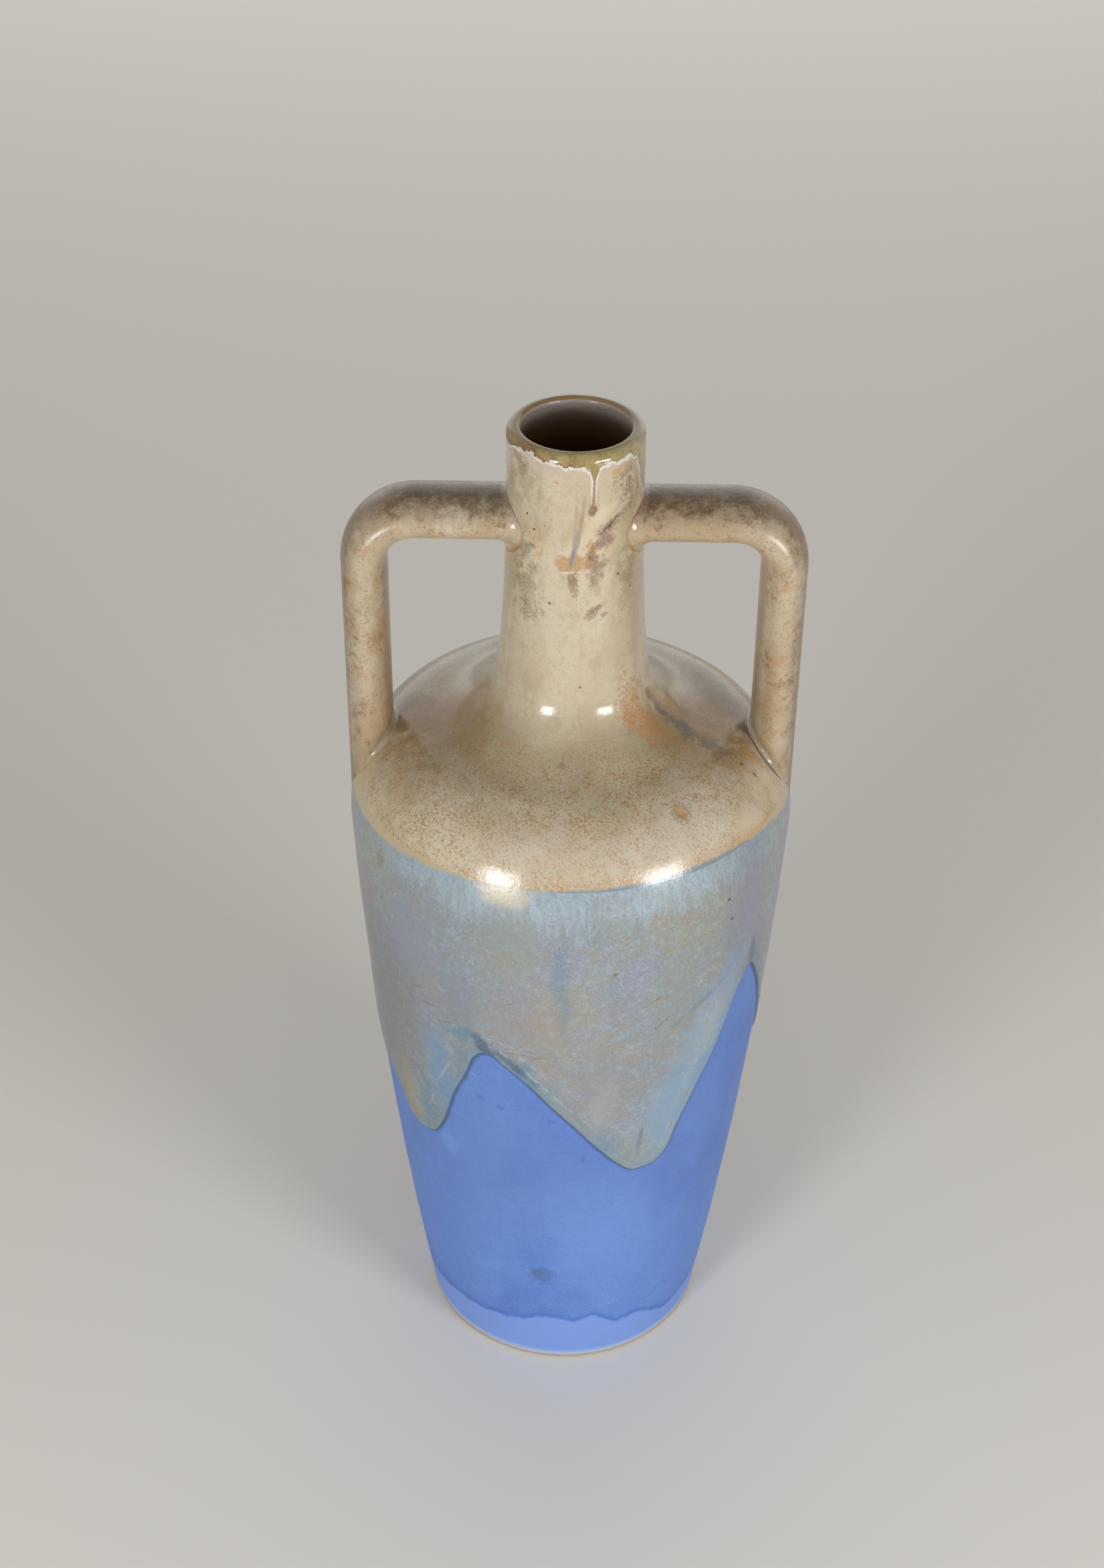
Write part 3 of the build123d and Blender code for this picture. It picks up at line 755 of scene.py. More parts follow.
def paint_coat(finish):
    """Grey-blue of the drip glaze before its edge and marks."""
    wide = finish.noise(34.0, 3.0, 0.55, shift=3.0)
    cloud = finish.noise(13.0, 4.0, 0.62, (1, 1, 1.3), shift=11.0)
    fine = finish.noise(2.4, 4.0, 0.7, shift=23.0)
    dust = finish.noise(0.6, 3.0, 0.65, shift=27.0)
    streaks = finish.noise(1.3, 4.0, 0.65, (1, 1, 10), shift=31.0)
    colour = finish.mix(finish.step(wide, 0.4, 0.62), GREY_BLUE, SAGE)
    colour = finish.mix(finish.step(cloud, 0.47, 0.66) * 0.7, colour, LILAC)
    colour = finish.mix(finish.step(cloud, 0.5, 0.32) * 0.6, colour, PINK_GREY)
    colour = finish.mix(finish.step(fine, 0.48, 0.7) * 0.45, colour, PALE_BLUE)
    colour = finish.mix(finish.step(fine, 0.47, 0.3) * 0.4, colour, KHAKI)
    reach = finish.z + (streaks - 0.5) * 12.0 + (cloud - 0.5) * 24.0
    pale = finish.step(reach, 182.0, 196.0) * finish.step(streaks, 0.3, 0.65, 0.35, 0.9)
    pale = pale * finish.step(abs(finish.degrees - 4.0), 75.0, 35.0, 0.3, 1.0)
    colour = finish.mix(pale, colour, PALE_BLUE)
    colour = finish.mix(finish.step(dust, 0.52, 0.68) * 0.3, colour, WHITE_BLUE)
    return finish.mix(finish.step(dust, 0.46, 0.34) * 0.35, colour, DUSK)


def lay_marks(finish, colour, marks, place, depth=20.0, flat=False):
    """Lays marks over a colour, in turn; flat ones lie on the dome and the others on a wall."""
    small = finish.fine() - 0.5
    large = finish.ragged() - 0.5
    crumbs = finish.noise(0.5, 3.0, 0.65, shift=33.0)
    loose = finish.step(crumbs, 0.38, 0.6, 0.3, 1.15)
    close = finish.step(crumbs, 0.36, 0.6, 0.68, 1.1)
    for degrees, where, width, length, lean, tone, strength, ragged in marks:
        size = (width, length, depth) if flat else (width, depth, length)
        reach = max(width, length)
        soft = min(0.22 + 0.06 * reach, 0.85)
        uneven = (small if reach < 3.2 else large) * (ragged * 1.5)
        share = finish.spot(place(degrees, where), size, lean, uneven, soft, flat) * strength
        if ragged > 1.0:
            share = share * (loose if ragged > 3.0 else close)
        colour = finish.mix(share, colour, tone)
    return colour


def on_dome(degrees, radius):
    """A point of the dome by its distance from the axis."""
    return around(degrees, radius, height_at(radius))


# Middle of the lip glaze's run, in degrees, and the height where its colour ends
RUN_CENTRE = 15.1
RUN_END = 285.3


def paint_lip_run(finish, colour, fine):
    """The run of olive glaze that leaves the lip, between two pale lines."""
    along = (finish.degrees - RUN_CENTRE - (finish.z - 290.0) * 0.06) * math.radians(NECK_TOP[0])
    away = abs(along) + (fine - 0.5) * 0.55
    half = finish.step(finish.z, 292.6, 296.9, 0.3, 1.2)
    above = finish.step(finish.z, RUN_END - 0.4, RUN_END + 0.6)
    below_lip = finish.step(finish.z, 296.3, 295.2)
    beside = finish.step(away - half, 0.62, 0.34) * below_lip * finish.step(finish.z, 286.0, 291.5)
    colour = finish.mix(beside * 0.9, colour, LIP_PALE)
    core = finish.step(away - half, 0.12, -0.08) * above * finish.step(finish.z, 297.2, 296.2)
    edge = finish.step(away - half, -0.3, 0.0)
    tone = finish.mix(finish.step(finish.z, 294.5, 290.5), LIP_OLIVE, RUN_BROWN)
    tone = finish.mix(edge * 0.5, tone, BROWN)
    return finish.mix(core * 0.9, colour, tone)


# Edges between faces that meet at a larger angle than this stay sharp
SHARP = math.radians(48)


def add_piece(bm, name, material, node, rules=()):
    """Puts a shape in millimetres into the scene as a smooth piece that rides on the bottle for a CAD node.

    Each of the rules gives a number for every point, under a name that the finish reads.
    """
    bmesh.ops.recalc_face_normals(bm, faces=bm.faces)
    for edge in bm.edges:
        edge.smooth = edge.calc_face_angle(0.0) < SHARP
    for face in bm.faces:
        face.smooth = True
    mesh = bpy.data.meshes.new(name)
    values = [(key, [rule(vertex.co) for vertex in bm.verts]) for key, rule in rules]
    bmesh.ops.scale(bm, vec=(MM, MM, MM), verts=bm.verts)
    bm.to_mesh(mesh)
    bm.free()
    for key, numbers in values:
        mesh.attributes.new(key, "FLOAT", "POINT").data.foreach_set("value", numbers)
    mesh.materials.append(material)
    piece = bpy.data.objects.new(name, mesh)
    bpy.context.scene.collection.objects.link(piece)
    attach(piece, "root")
    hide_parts(node)


def from_run(place):
    """Distance of a point from the drip glaze's edge."""
    return run_distance(azimuth(place), place.z)


# A full turn is spun as this many equal parts, whose ends merge within a small distance
SPUN_PARTS = 8
MERGED = 1e-4

# Points round the ware, and round the dome with its crater
SEGMENTS = 384
DOME_SEGMENTS = 576


def spun(section, segments):
    """Closed shell of revolution of a half section, spun over a part of the turn and then repeated."""
    bm = bmesh.new()
    points = [bm.verts.new((radius, 0, height)) for radius, height in section]
    edges = [bm.edges.new((points[at - 1], points[at])) for at in range(len(points))]
    part_turn = 2 * math.pi / SPUN_PARTS
    bmesh.ops.spin(
        bm,
        geom=points + edges,
        cent=(0, 0, 0),
        axis=(0, 0, 1),
        angle=part_turn,
        steps=segments // SPUN_PARTS,
        use_merge=False,
    )
    wedge = bm.verts[:] + bm.edges[:] + bm.faces[:]
    for part in range(1, SPUN_PARTS):
        copied = bmesh.ops.duplicate(bm, geom=wedge)["geom"]
        turned = [piece for piece in copied if isinstance(piece, bmesh.types.BMVert)]
        turn = Matrix.Rotation(part * part_turn, 3, "Z")
        bmesh.ops.rotate(bm, verts=turned, cent=(0, 0, 0), matrix=turn)
    bmesh.ops.remove_doubles(bm, verts=bm.verts, dist=MERGED)
    return bm


def move(bm, rule):
    """Moves each point of a shape to where a rule puts it."""
    for vertex in bm.verts:
        vertex.co = rule(vertex.co)


def outward(place, amount):
    """A point moved away from the bottle's axis."""
    flat = Vector((place.x, place.y, 0))
    return place + flat.normalized() * amount


def loft(rings, joined=False):
    """A tube through rings that have equally many points, closed at its ends or joined into a loop."""
    bm = bmesh.new()
    index = bm.verts.layers.int.new("index")
    along = bm.verts.layers.float.new("along")
    bmesh.ops.create_circle(bm, segments=len(rings[0]), radius=1.0)
    bm.verts.ensure_lookup_table()
    for vertex in bm.verts:
        vertex[index] = vertex.index
    first = bm.edges[:]
    edges = first
    for number, ring in enumerate(rings):
        if number:
            made = bmesh.ops.extrude_edge_only(bm, edges=edges)["geom"]
            new = {part for part in made if isinstance(part, bmesh.types.BMVert)}
            edges = [
                part
                for part in made
                if isinstance(part, bmesh.types.BMEdge) and all(end in new for end in part.verts)
            ]
        else:
            new = set(bm.verts)
        for vertex in new:
            vertex.co = ring[vertex[index]]
            vertex[along] = number
    if joined:
        bmesh.ops.bridge_loops(bm, edges=first + edges)
    else:
        bmesh.ops.contextual_create(bm, geom=first)
        bmesh.ops.contextual_create(bm, geom=edges)
    return bm


# Camera, fitted to the bottle's outline in the photograph
FOCAL_PIXELS = 3500.0
IMAGE_HEIGHT = 2296
SENSOR = 36.0
CAMERA_PLACE = Vector((0.0, -533.555, 578.199))
CAMERA_YAW = math.radians(0.5537)
CAMERA_PITCH = math.radians(36.130)
CAMERA_ROLL = math.radians(0.58599)


def make_camera():
    """The photograph's camera."""
    right = Vector((math.cos(CAMERA_YAW), math.sin(CAMERA_YAW), 0))
    level = Vector((-math.sin(CAMERA_YAW), math.cos(CAMERA_YAW), 0))
    ahead = level * math.cos(CAMERA_PITCH) - Vector((0, 0, 1)) * math.sin(CAMERA_PITCH)
    up = right.cross(ahead)
    across = right * math.cos(CAMERA_ROLL) + up * math.sin(CAMERA_ROLL)
    upright = up * math.cos(CAMERA_ROLL) - right * math.sin(CAMERA_ROLL)
    data = bpy.data.cameras.new("camera")
    data.sensor_width = SENSOR
    data.lens = FOCAL_PIXELS / IMAGE_HEIGHT * SENSOR
    data.clip_start = 0.01
    data.clip_end = 50
    camera = bpy.data.objects.new("camera", data)
    turned = Matrix((across, upright, -ahead)).transposed()
    camera.matrix_world = Matrix.Translation(CAMERA_PLACE * MM) @ turned.to_4x4()
    bpy.context.scene.collection.objects.link(camera)
    bpy.context.scene.camera = camera


# Lamps as (name, place, size, power), in metres and watts, and the point that they face
LAMPS = (
    ("lamp_left", Vector((-0.53, -0.82, 0.30)), (0.23, 0.32), 5.2),
    ("lamp_right", Vector((0.70, -0.70, 0.32)), (0.33, 0.27), 5.5),
    ("lamp_back", Vector((0.0, 1.35, 0.62)), (1.9, 1.2), 5.0),
)
LAMP_AIM = Vector((0, 0, 0.17))

# Strength of the surround as light, and as it is seen and mirrored
SURROUND_LIGHT = 0.33
SURROUND_SEEN = 0.7

# Reach of the floor from its middle, in metres
FLOOR_REACH = 4.0


def make_lamp(name, place, size, power):
    """A soft rectangular lamp that faces the bottle."""
    data = bpy.data.lights.new(name, "AREA")
    data.shape = "RECTANGLE"
    data.size, data.size_y = size
    data.energy = power
    lamp = bpy.data.objects.new(name, data)
    facing = (LAMP_AIM - place).to_track_quat("-Z", "Y").to_matrix().to_4x4()
    lamp.matrix_world = Matrix.Translation(place) @ facing
    bpy.context.scene.collection.objects.link(lamp)


def make_studio():
    """Pale floor, soft lamps and an even pale surround."""
    floor_shape = bmesh.new()
    bmesh.ops.create_grid(floor_shape, x_segments=1, y_segments=1, size=FLOOR_REACH)
    floor_mesh = bpy.data.meshes.new("studio_floor")
    floor_shape.to_mesh(floor_mesh)
    floor_shape.free()
    floor_mesh.materials.append(Finish("pale_floor").glaze(FLOOR_WHITE, 0.7))
    floor = bpy.data.objects.new("studio_floor", floor_mesh)
    bpy.context.scene.collection.objects.link(floor)

    for lamp in LAMPS:
        make_lamp(*lamp)

    world = bpy.data.worlds.new("studio")
    world.use_nodes = True
    nodes, links = world.node_tree.nodes, world.node_tree.links
    nodes.clear()
    path = nodes.new("ShaderNodeLightPath")
    seen = path.outputs["Is Camera Ray"]
    for ray in ("Is Glossy Ray", "Is Transmission Ray"):
        either = nodes.new("ShaderNodeMath")
        either.operation = "MAXIMUM"
        links.new(seen, either.inputs[0])
        links.new(path.outputs[ray], either.inputs[1])
        seen = either.outputs[0]
    strength = nodes.new("ShaderNodeMapRange")
    strength.inputs["To Min"].default_value = SURROUND_LIGHT
    strength.inputs["To Max"].default_value = SURROUND_SEEN
    links.new(seen, strength.inputs["Value"])
    backdrop = nodes.new("ShaderNodeBackground")
    backdrop.inputs["Color"].default_value = SURROUND_WHITE
    links.new(strength.outputs["Result"], backdrop.inputs["Strength"])
    output = nodes.new("ShaderNodeOutputWorld")
    links.new(backdrop.outputs[0], output.inputs["Surface"])
    bpy.context.scene.world = world


def blue_finish():
    """Cornflower glaze of the lower wall."""
    finish = Finish("cornflower_glaze")
    distance = finish.attribute("run_distance")
    wide = finish.noise(30.0, 3.0, 0.55, (1, 1, 1.4), shift=5.0)
    cloud = finish.noise(9.0, 4.0, 0.6, shift=15.0)
    grain = finish.noise(0.9, 3.0, 0.65, shift=25.0)
    rag = finish.noise(3.0, 3.0, 0.6, shift=41.0)
    colour = finish.mix(finish.step(wide, 0.3, 0.55), BLUE_DEEP, BLUE)
    colour = finish.mix(finish.step(cloud, 0.5, 0.75) * 0.4, colour, BLUE_LIGHT)
    colour = finish.mix(finish.step(cloud, 0.46, 0.26) * 0.2, colour, BLUE_GREY)
    colour = finish.mix(finish.step(grain, 0.52, 0.7) * 0.25, colour, BLUE_PALE)
    colour = finish.mix(finish.step(grain, 0.45, 0.3) * 0.25, colour, BLUE_DEEP)
    colour = finish.mix(finish.step(finish.z, 35.0, 85.0) * 0.36, colour, BLUE_GREY)
    colour = lay_marks(finish, colour, BLUE_MARKS, on_ware)
    above = finish.z - finish.edge_height(FOOT_LINE, 0.0, 40.0) + (rag - 0.5) * 3.0
    band = finish.step(above, 0.6, -1.4)
    line = finish.step(above, -0.5, 0.3) * finish.step(above, 3.2, 0.5)
    colour = finish.mix(band * 0.85, colour, FOOT_BAND)
    colour = finish.mix(line * 0.7, colour, FOOT_BAND_EDGE)
    colour = finish.mix(finish.step(finish.z, 4.5, 1.6) * 0.8, colour, FOOT_RIM)
    shade = finish.step(distance + (rag - 0.5) * 0.8, -1.3, 0.1)
    colour = finish.mix(shade * 0.7, colour, DEEP_TEAL)
    normal = finish.bump((grain, 0.05), (cloud, 0.12))
    return finish.glaze(colour, finish.step(cloud, 0.3, 0.7, 0.42, 0.54), normal, specular=0.08)


def above_dome_line(finish, rag, fine):
    """Height above the ragged line between the drip glaze and the dome's."""
    line = finish.edge_height(DOME_LINE, 180.0, 210.0)
    return finish.z - line + (rag - 0.5) * 1.8 + (fine - 0.5) * 0.9


def drip_finish():
    """Mottled grey-blue glaze that runs down over the blue."""
    finish = Finish("drip_glaze")
    distance = finish.attribute("run_distance")
    rag = finish.ragged()
    fine = finish.fine()
    colour = paint_coat(finish)
    turquoise = finish.step(distance + (rag - 0.5) * 12.0, 8.0, 2.0)
    colour = finish.mix(turquoise * 0.4, colour, TURQUOISE)
    colour = lay_marks(finish, colour, COAT_MARKS, on_ware)
    along_edge = {"X": distance, "Y": finish.z * 0.04, "Z": finish.degrees * 0.03}
    flow = finish.node("ShaderNodeCombineXYZ", {}, along_edge)
    bands = finish.node(
        "ShaderNodeTexNoise", {}, {"Vector": flow, "Scale": 0.9, "Detail": 2.0, "Roughness": 0.5}
    )
    near_edge = finish.step(distance, 1.0, 2.0) * finish.step(distance, 12.0, 6.0)
    lines = finish.step(bands, 0.54, 0.66) * near_edge * finish.step(rag, 0.42, 0.58)
    colour = finish.mix(lines * 0.3, colour, WHITE_BLUE)
    # Dark teal along the drip glaze's edge: thicker glaze, and painted shade of its raised bead.
    colour = finish.mix(finish.step(distance + (rag - 0.5) * 0.6, 0.75, 0.1) * 0.75, colour, DEEP_TEAL)
    specks = finish.noise(0.6, 2.0, 0.6, shift=51.0)
    colour = finish.mix(finish.step(specks, 0.67, 0.71) * 0.7, colour, BROWN)
    scratch = finish.noise(16.0, 2.0, 0.5, shift=61.0, distortion=0.6)
    hair = finish.step(abs(scratch - 0.5), 0.005, 0.001) * finish.step(rag, 0.54, 0.62)
    colour = finish.mix(hair * 0.4, colour, BROWN)
    above = above_dome_line(finish, rag, fine)
    colour = finish.mix(finish.step(above, -1.0, 0.3), colour, BEIGE)
    normal = finish.bump((fine, 0.05), (rag, 0.12))
    satin = finish.step(rag, 0.3, 0.7, 0.24, 0.36) * finish.step(above, -1.0, -9.0, 0.7, 1.0)
    return finish.glaze(colour, satin, normal, specular=0.4)


def dome_finish():
    """Speckled beige glaze of the dome."""
    finish = Finish("speckled_dome_glaze")
    rag = finish.ragged()
    fine = finish.fine()
    colour = paint_dome(finish, paint_beige(finish, CREAM, BEIGE))
    colour = lay_marks(finish, colour, DOME_MARKS, on_dome, flat=True)
    crater = on_dome(*CRATER)
    halo = finish.spot(crater, (2.4, 2.3, 20.0), 0, (fine - 0.5) * 2.4, 0.3, flat=True)
    core = finish.spot(crater, (1.2, 1.5, 20.0), 20, (fine - 0.5) * 3.0, 0.3, flat=True)
    colour = finish.mix(halo * 0.4, colour, OLIVE)
    colour = finish.mix(core * 0.85, colour, OCHRE)
    above = above_dome_line(finish, rag, fine)
    sides = finish.step(abs(finish.degrees), 22.0, 60.0)
    rim = finish.step(above, 3.0, 0.6)
    colour = finish.mix(rim * sides * 0.5, colour, OCHRE)
    grit = finish.noise(0.45, 2.0, 0.6, shift=57.0)
    colour = finish.mix(rim * finish.step(grit, 0.52, 0.6) * (1 - sides) * 0.6, colour, RUST)
    colour = finish.mix(finish.step(above, 0.3, -1.0), colour, GREY_BLUE)
    normal = finish.bump((fine, 0.035), (rag, 0.06))
    return finish.glaze(colour, finish.step(fine, 0.3, 0.7, 0.15, 0.2), normal)


def neck_finish():
    """Beige glaze of the neck with its drips, patches and pinholes."""
    finish = Finish("neck_glaze")
    fine = finish.fine()
    colour = paint_dome(finish, paint_beige(finish, CREAM, BEIGE))
    dots = finish.noise(0.55, 2.0, 0.6, shift=83.0)
    colour = finish.mix(finish.step(dots, 0.64, 0.69) * 0.5, colour, BROWN)
    wash = finish.noise(4.0, 5.0, 0.72, (1, 1, 2.2), shift=87.0)
    colour = finish.mix(finish.step(wash, 0.5, 0.66) * 0.3, colour, KHAKI)
    colour = lay_marks(finish, colour, NECK_MARKS, on_ware, 6.0)
    # Greyer and darker towards the neck's foot: painted shade.
    colour = finish.mix(finish.step(finish.z, 284.0, 252.0) * 0.3, colour, BEIGE_GREY)
    near = [mark for mark in DOME_MARKS if mark[1] - mark[3] < radius_at(NECK_SEAM) + 1.0]
    colour = lay_marks(finish, colour, near, on_dome, flat=True)
    colour, band = paint_mouth(finish, colour, fine)
    normal = finish.bump((fine, 0.04), (band, 0.08))
    return finish.glaze(colour, finish.step(fine, 0.3, 0.7, 0.12, 0.2), normal)


def paint_lip_glaze(finish, colour, fine):
    """Olive glaze of the lip, its dark edge, and the white and grey-pink line below it."""
    ragged = finish.noise(2.4, 4.0, 0.72, (1, 1, 0.8), shift=53.0)
    above = finish.z - finish.edge_height(LIP_LINE, 280.0, 302.0) + (ragged - 0.5) * 3.8
    blush = finish.step(above + (fine - 0.5) * 3.0, -5.0, -0.6)
    colour = finish.mix(blush * 0.55, colour, LIP_BLUSH)
    white = finish.step(above + (fine - 0.5) * 0.7, -1.05, -0.65)
    colour = finish.mix(white * 0.9, colour, LIP_PALE)
    band = finish.step(above, -0.08, 0.12)
    left = finish.step(finish.degrees, 12.0, -6.0, 0.3, 1.0)
    olive = finish.mix(finish.step(ragged, 0.35, 0.65), LIP_OLIVE, LIP_STRAW)
    # Paler grey on the lip's right side: glaze tone, partly painted sheen.
    olive = finish.mix(finish.step(finish.degrees, 20.0, 75.0) * 0.6, olive, LIP_SHEEN_GREY)
    olive = finish.mix(finish.step(finish.degrees, -25.0, -70.0) * 0.6, olive, LIP_DEEP)
    olive = finish.mix(finish.step(above, 1.5, 0.1) * left * 0.8, olive, LIP_AMBER)
    olive = finish.mix(finish.step(finish.across(), 16.2, 14.6) * 0.75, olive, LIP_GOLD)
    olive = finish.mix(finish.step(finish.z, 295.0, 289.0) * 0.6, olive, RUN_KHAKI)
    colour = finish.mix(band * 0.95, colour, olive)
    shade = finish.step(above, -0.25, 0.0) * finish.step(above, 0.35, 0.08)
    colour = finish.mix(shade * left * 0.8, colour, UMBER)
    return colour, band


def paint_mouth(finish, colour, fine):
    """Lip glaze with its run, and the bore; gives the lip glaze's mask too."""
    colour, band = paint_lip_glaze(finish, colour, fine)
    colour = paint_lip_run(finish, colour, fine)
    return finish.mix(finish.bore_mask(), colour, finish.bore_tone_and_shade()), band


def lip_finish():
    """Olive glaze of the lip with its ragged pale edge."""
    finish = Finish("lip_glaze")
    fine = finish.fine()
    colour = paint_beige(finish, CREAM, BEIGE)
    upper = [mark for mark in NECK_MARKS if mark[1] + mark[3] > NECK_TOP[1] - 1.0]
    colour = lay_marks(finish, colour, upper, on_ware, 6.0)
    colour, band = paint_mouth(finish, colour, fine)
    normal = finish.bump((fine, 0.02), (band, 0.08))
    return finish.glaze(colour, 0.11, normal)


def handle_finish():
    """Mottled beige and brown glaze of the handles, darkest on their upper side, partly as painted shade.
    """
    finish = Finish("handle_glaze")
    rag = finish.noise(3.2, 6.0, 0.75, shift=91.0)
    broad = finish.noise(12.0, 4.0, 0.62, shift=97.0)
    fine = finish.fine()
    mottle = finish.noise(1.7, 7.0, 0.85, shift=93.0)
    crumbs = finish.noise(0.7, 4.0, 0.8, shift=89.0)
    colour = paint_beige(finish, STRAP_PALE, STRAP_BEIGE)
    out = finish.maths("MAXIMUM", abs(finish.x) - (LEG_X - BEND_RADIUS), 0.0)
    up = finish.maths("MAXIMUM", finish.z - (ARM_HEIGHT - BEND_RADIUS), 0.0)
    shell = finish.maths("SQRT", out * out + up * up) - BEND_RADIUS
    arm = finish.step(abs(finish.x), LEG_X - 1.0, LEG_X - 12.0)
    colour = finish.mix((1 - arm) * 0.2, colour, TAN)
    tan = finish.step(mottle + (broad - 0.5) * 1.1, 0.5, 0.62)
    colour = finish.mix(tan * 0.5, colour, STRAP_TAN)
    rust = finish.noise(7.0, 5.0, 0.8, shift=99.0)
    colour = finish.mix(finish.step(rust + (crumbs - 0.5) * 0.3, 0.53, 0.64) * 0.5, colour, STRAP_RUST)
    colour = finish.mix(finish.step(rag + (broad - 0.5) * 0.9, 0.57, 0.7) * 0.4, colour, BROWN)
    # Brown on the arms' upper side: brown glaze there, partly painted shade of the tops.
    top = finish.step(shell + (rag - 0.5) * 13.0 + (broad - 0.5) * 8.0 + (crumbs - 0.5) * 5.0, 1.4, 6.6)
    colour = finish.mix(top * finish.maths("MULTIPLY_ADD", arm, 0.5, 0.38), colour, STRAP_UMBER)
    colour = finish.mix(top * arm * finish.step(broad, 0.5, 0.62) * 0.5, colour, STRAP_BROWN)
    pale = finish.step(mottle, 0.5, 0.36) * top * arm
    colour = finish.mix(pale * 0.45, colour, STRAP_BEIGE)
    outside = finish.step(shell + (rag - 0.5) * 2.0, 3.9, 5.6) * (1 - arm)
    inside = finish.step(shell + (rag - 0.5) * 2.0, -4.2, -5.7)
    colour = finish.mix(outside * 0.45, colour, BROWN)
    colour = finish.mix(inside * 0.5, colour, BROWN)
    flecks = finish.noise(0.5, 3.0, 0.7, (1, 1, 1.3), shift=95.0)
    crowd = finish.step(rag, 0.45, 0.62, -0.05, 0.05)
    colour = finish.mix(finish.step(flecks + crowd, 0.56, 0.64) * 0.5, colour, STRAP_FLECK)
    normal = finish.bump((fine, 0.05), (rag, 0.1))
    return finish.glaze(colour, finish.step(rag, 0.3, 0.7, 0.18, 0.3), normal, specular=0.42)


def collar_finish(name, rim_tone, rim_start):
    """Glaze of the joining clay, thin and of another tone along its rim."""
    finish = Finish(name)
    along = finish.attribute("along")
    rag = finish.noise(1.6, 4.0, 0.7, shift=91.0)
    fine = finish.fine()
    colour = paint_beige(finish, CREAM, STRAP_BEIGE)
    reach = along + (rag - 0.5) * 3.0
    colour = finish.mix(finish.step(reach, rim_start, rim_start + 1.2) * 0.85, colour, rim_tone)
    colour = finish.mix(finish.step(reach, 7.5, 8.0) * 0.4, colour, BROWN)
    upper = finish.step(finish.z + (rag - 0.5) * 6.0, 276.5, 281.0)
    colour = finish.mix(upper * 0.8, colour, COLLAR_BROWN)
    flecks = finish.noise(0.5, 3.0, 0.65, shift=95.0)
    colour = finish.mix(finish.step(flecks, 0.6, 0.66) * 0.5, colour, UMBER)
    normal = finish.bump((fine, 0.05))
    return finish.glaze(colour, finish.step(rag, 0.3, 0.7, 0.09, 0.15), normal)


def bare_finish():
    """Unglazed clay of the foot."""
    finish = Finish("bare_clay")
    grain = finish.noise(1.2, 4.0, 0.7)
    rings = finish.noise(2.0, 2.0, 0.5, (30, 30, 1), shift=4.0)
    colour = finish.mix(grain, CLAY, CLAY_PALE)
    colour = finish.mix(finish.step(rings, 0.5, 0.7) * 0.3, colour, CLAY_RING)
    normal = finish.bump((grain, 0.08))
    return finish.glaze(colour, 0.85, normal)


def inner_finish():
    """Thin brown glaze inside the body."""
    finish = Finish("inner_glaze")
    cloud = finish.noise(12.0, 3.0, 0.6)
    colour = finish.mix(cloud, UMBER, BROWN)
    normal = finish.bump((finish.noise(1.5, 3.0, 0.6), 0.05))
    return finish.glaze(colour, 0.3, normal)


def wall_rows(step, depth):
    """Rows of the wall from the bare foot to the dome's seam, a depth below the ware's surface."""
    rows = between(BARE_FOOT_TOP, GLAZE_SEAM, WARE, step)
    return [(radius - depth, height) for radius, height in rows]


def make_blue_coat(material):
    """Blue glaze of the wall, uneven where it shows and plain under the drips."""
    inner_depth = UPPER_COAT + LOWER_COAT
    outer = wall_rows(1.9, UPPER_COAT)
    inner = wall_rows(16.0, inner_depth)
    bm = spun(outer + inner[::-1], SEGMENTS)

    def uneven(place):
        depth = radius_at(place.z) - math.hypot(place.x, place.y)
        if depth > inner_depth - LOWER_COAT / 2:
            return place
        free = smoothstep(0.0, -3.0, from_run(place))
        ends = smoothstep(BARE_FOOT_TOP, BARE_FOOT_TOP + 4.0, place.z)
        return outward(place, free * ends * (wobble(place, 14.0, 0.12) + wobble(place, 4.0, 0.04)))

    move(bm, uneven)
    rules = [("run_distance", from_run)]
    add_piece(bm, "blue_glaze_coat", material, "lower_blue_glaze", rules)


# Distances from the drip glaze's edge at which its lowest rows lie
BEAD_ROWS = (0.0, 0.1, 0.24, 0.42, 0.64, 0.9, 1.25, 1.7, 2.3, 3.1, 4.2)

# Bead of the drip's edge: where it is highest, its thickness, and where it has faded into the coat
BEAD_RADIUS = 0.9
BEAD_THICKNESS = 0.74
BEAD_FADE = 6.0

# Depth of the coat's edge in the blue glaze, and the length of a degree round the wall
EDGE_SINK = 0.06
DEGREE_LENGTH = 0.995


def edge_slant(degrees):
    """Height of the drip's edge at an azimuth, and how much its slope lengthens it."""
    slopes = [
        (run_edge(degrees + offset + 0.5) - run_edge(degrees + offset - 0.5)) / DEGREE_LENGTH
        for offset in (-1.0, -0.5, 0.0, 0.5, 1.0)
    ]
    slant = sum(math.hypot(1, slope) for slope in slopes) / len(slopes)
    return run_edge(degrees) + wobble(around(degrees, RUN_RADIUS, 0), 6.0, 0.25), slant


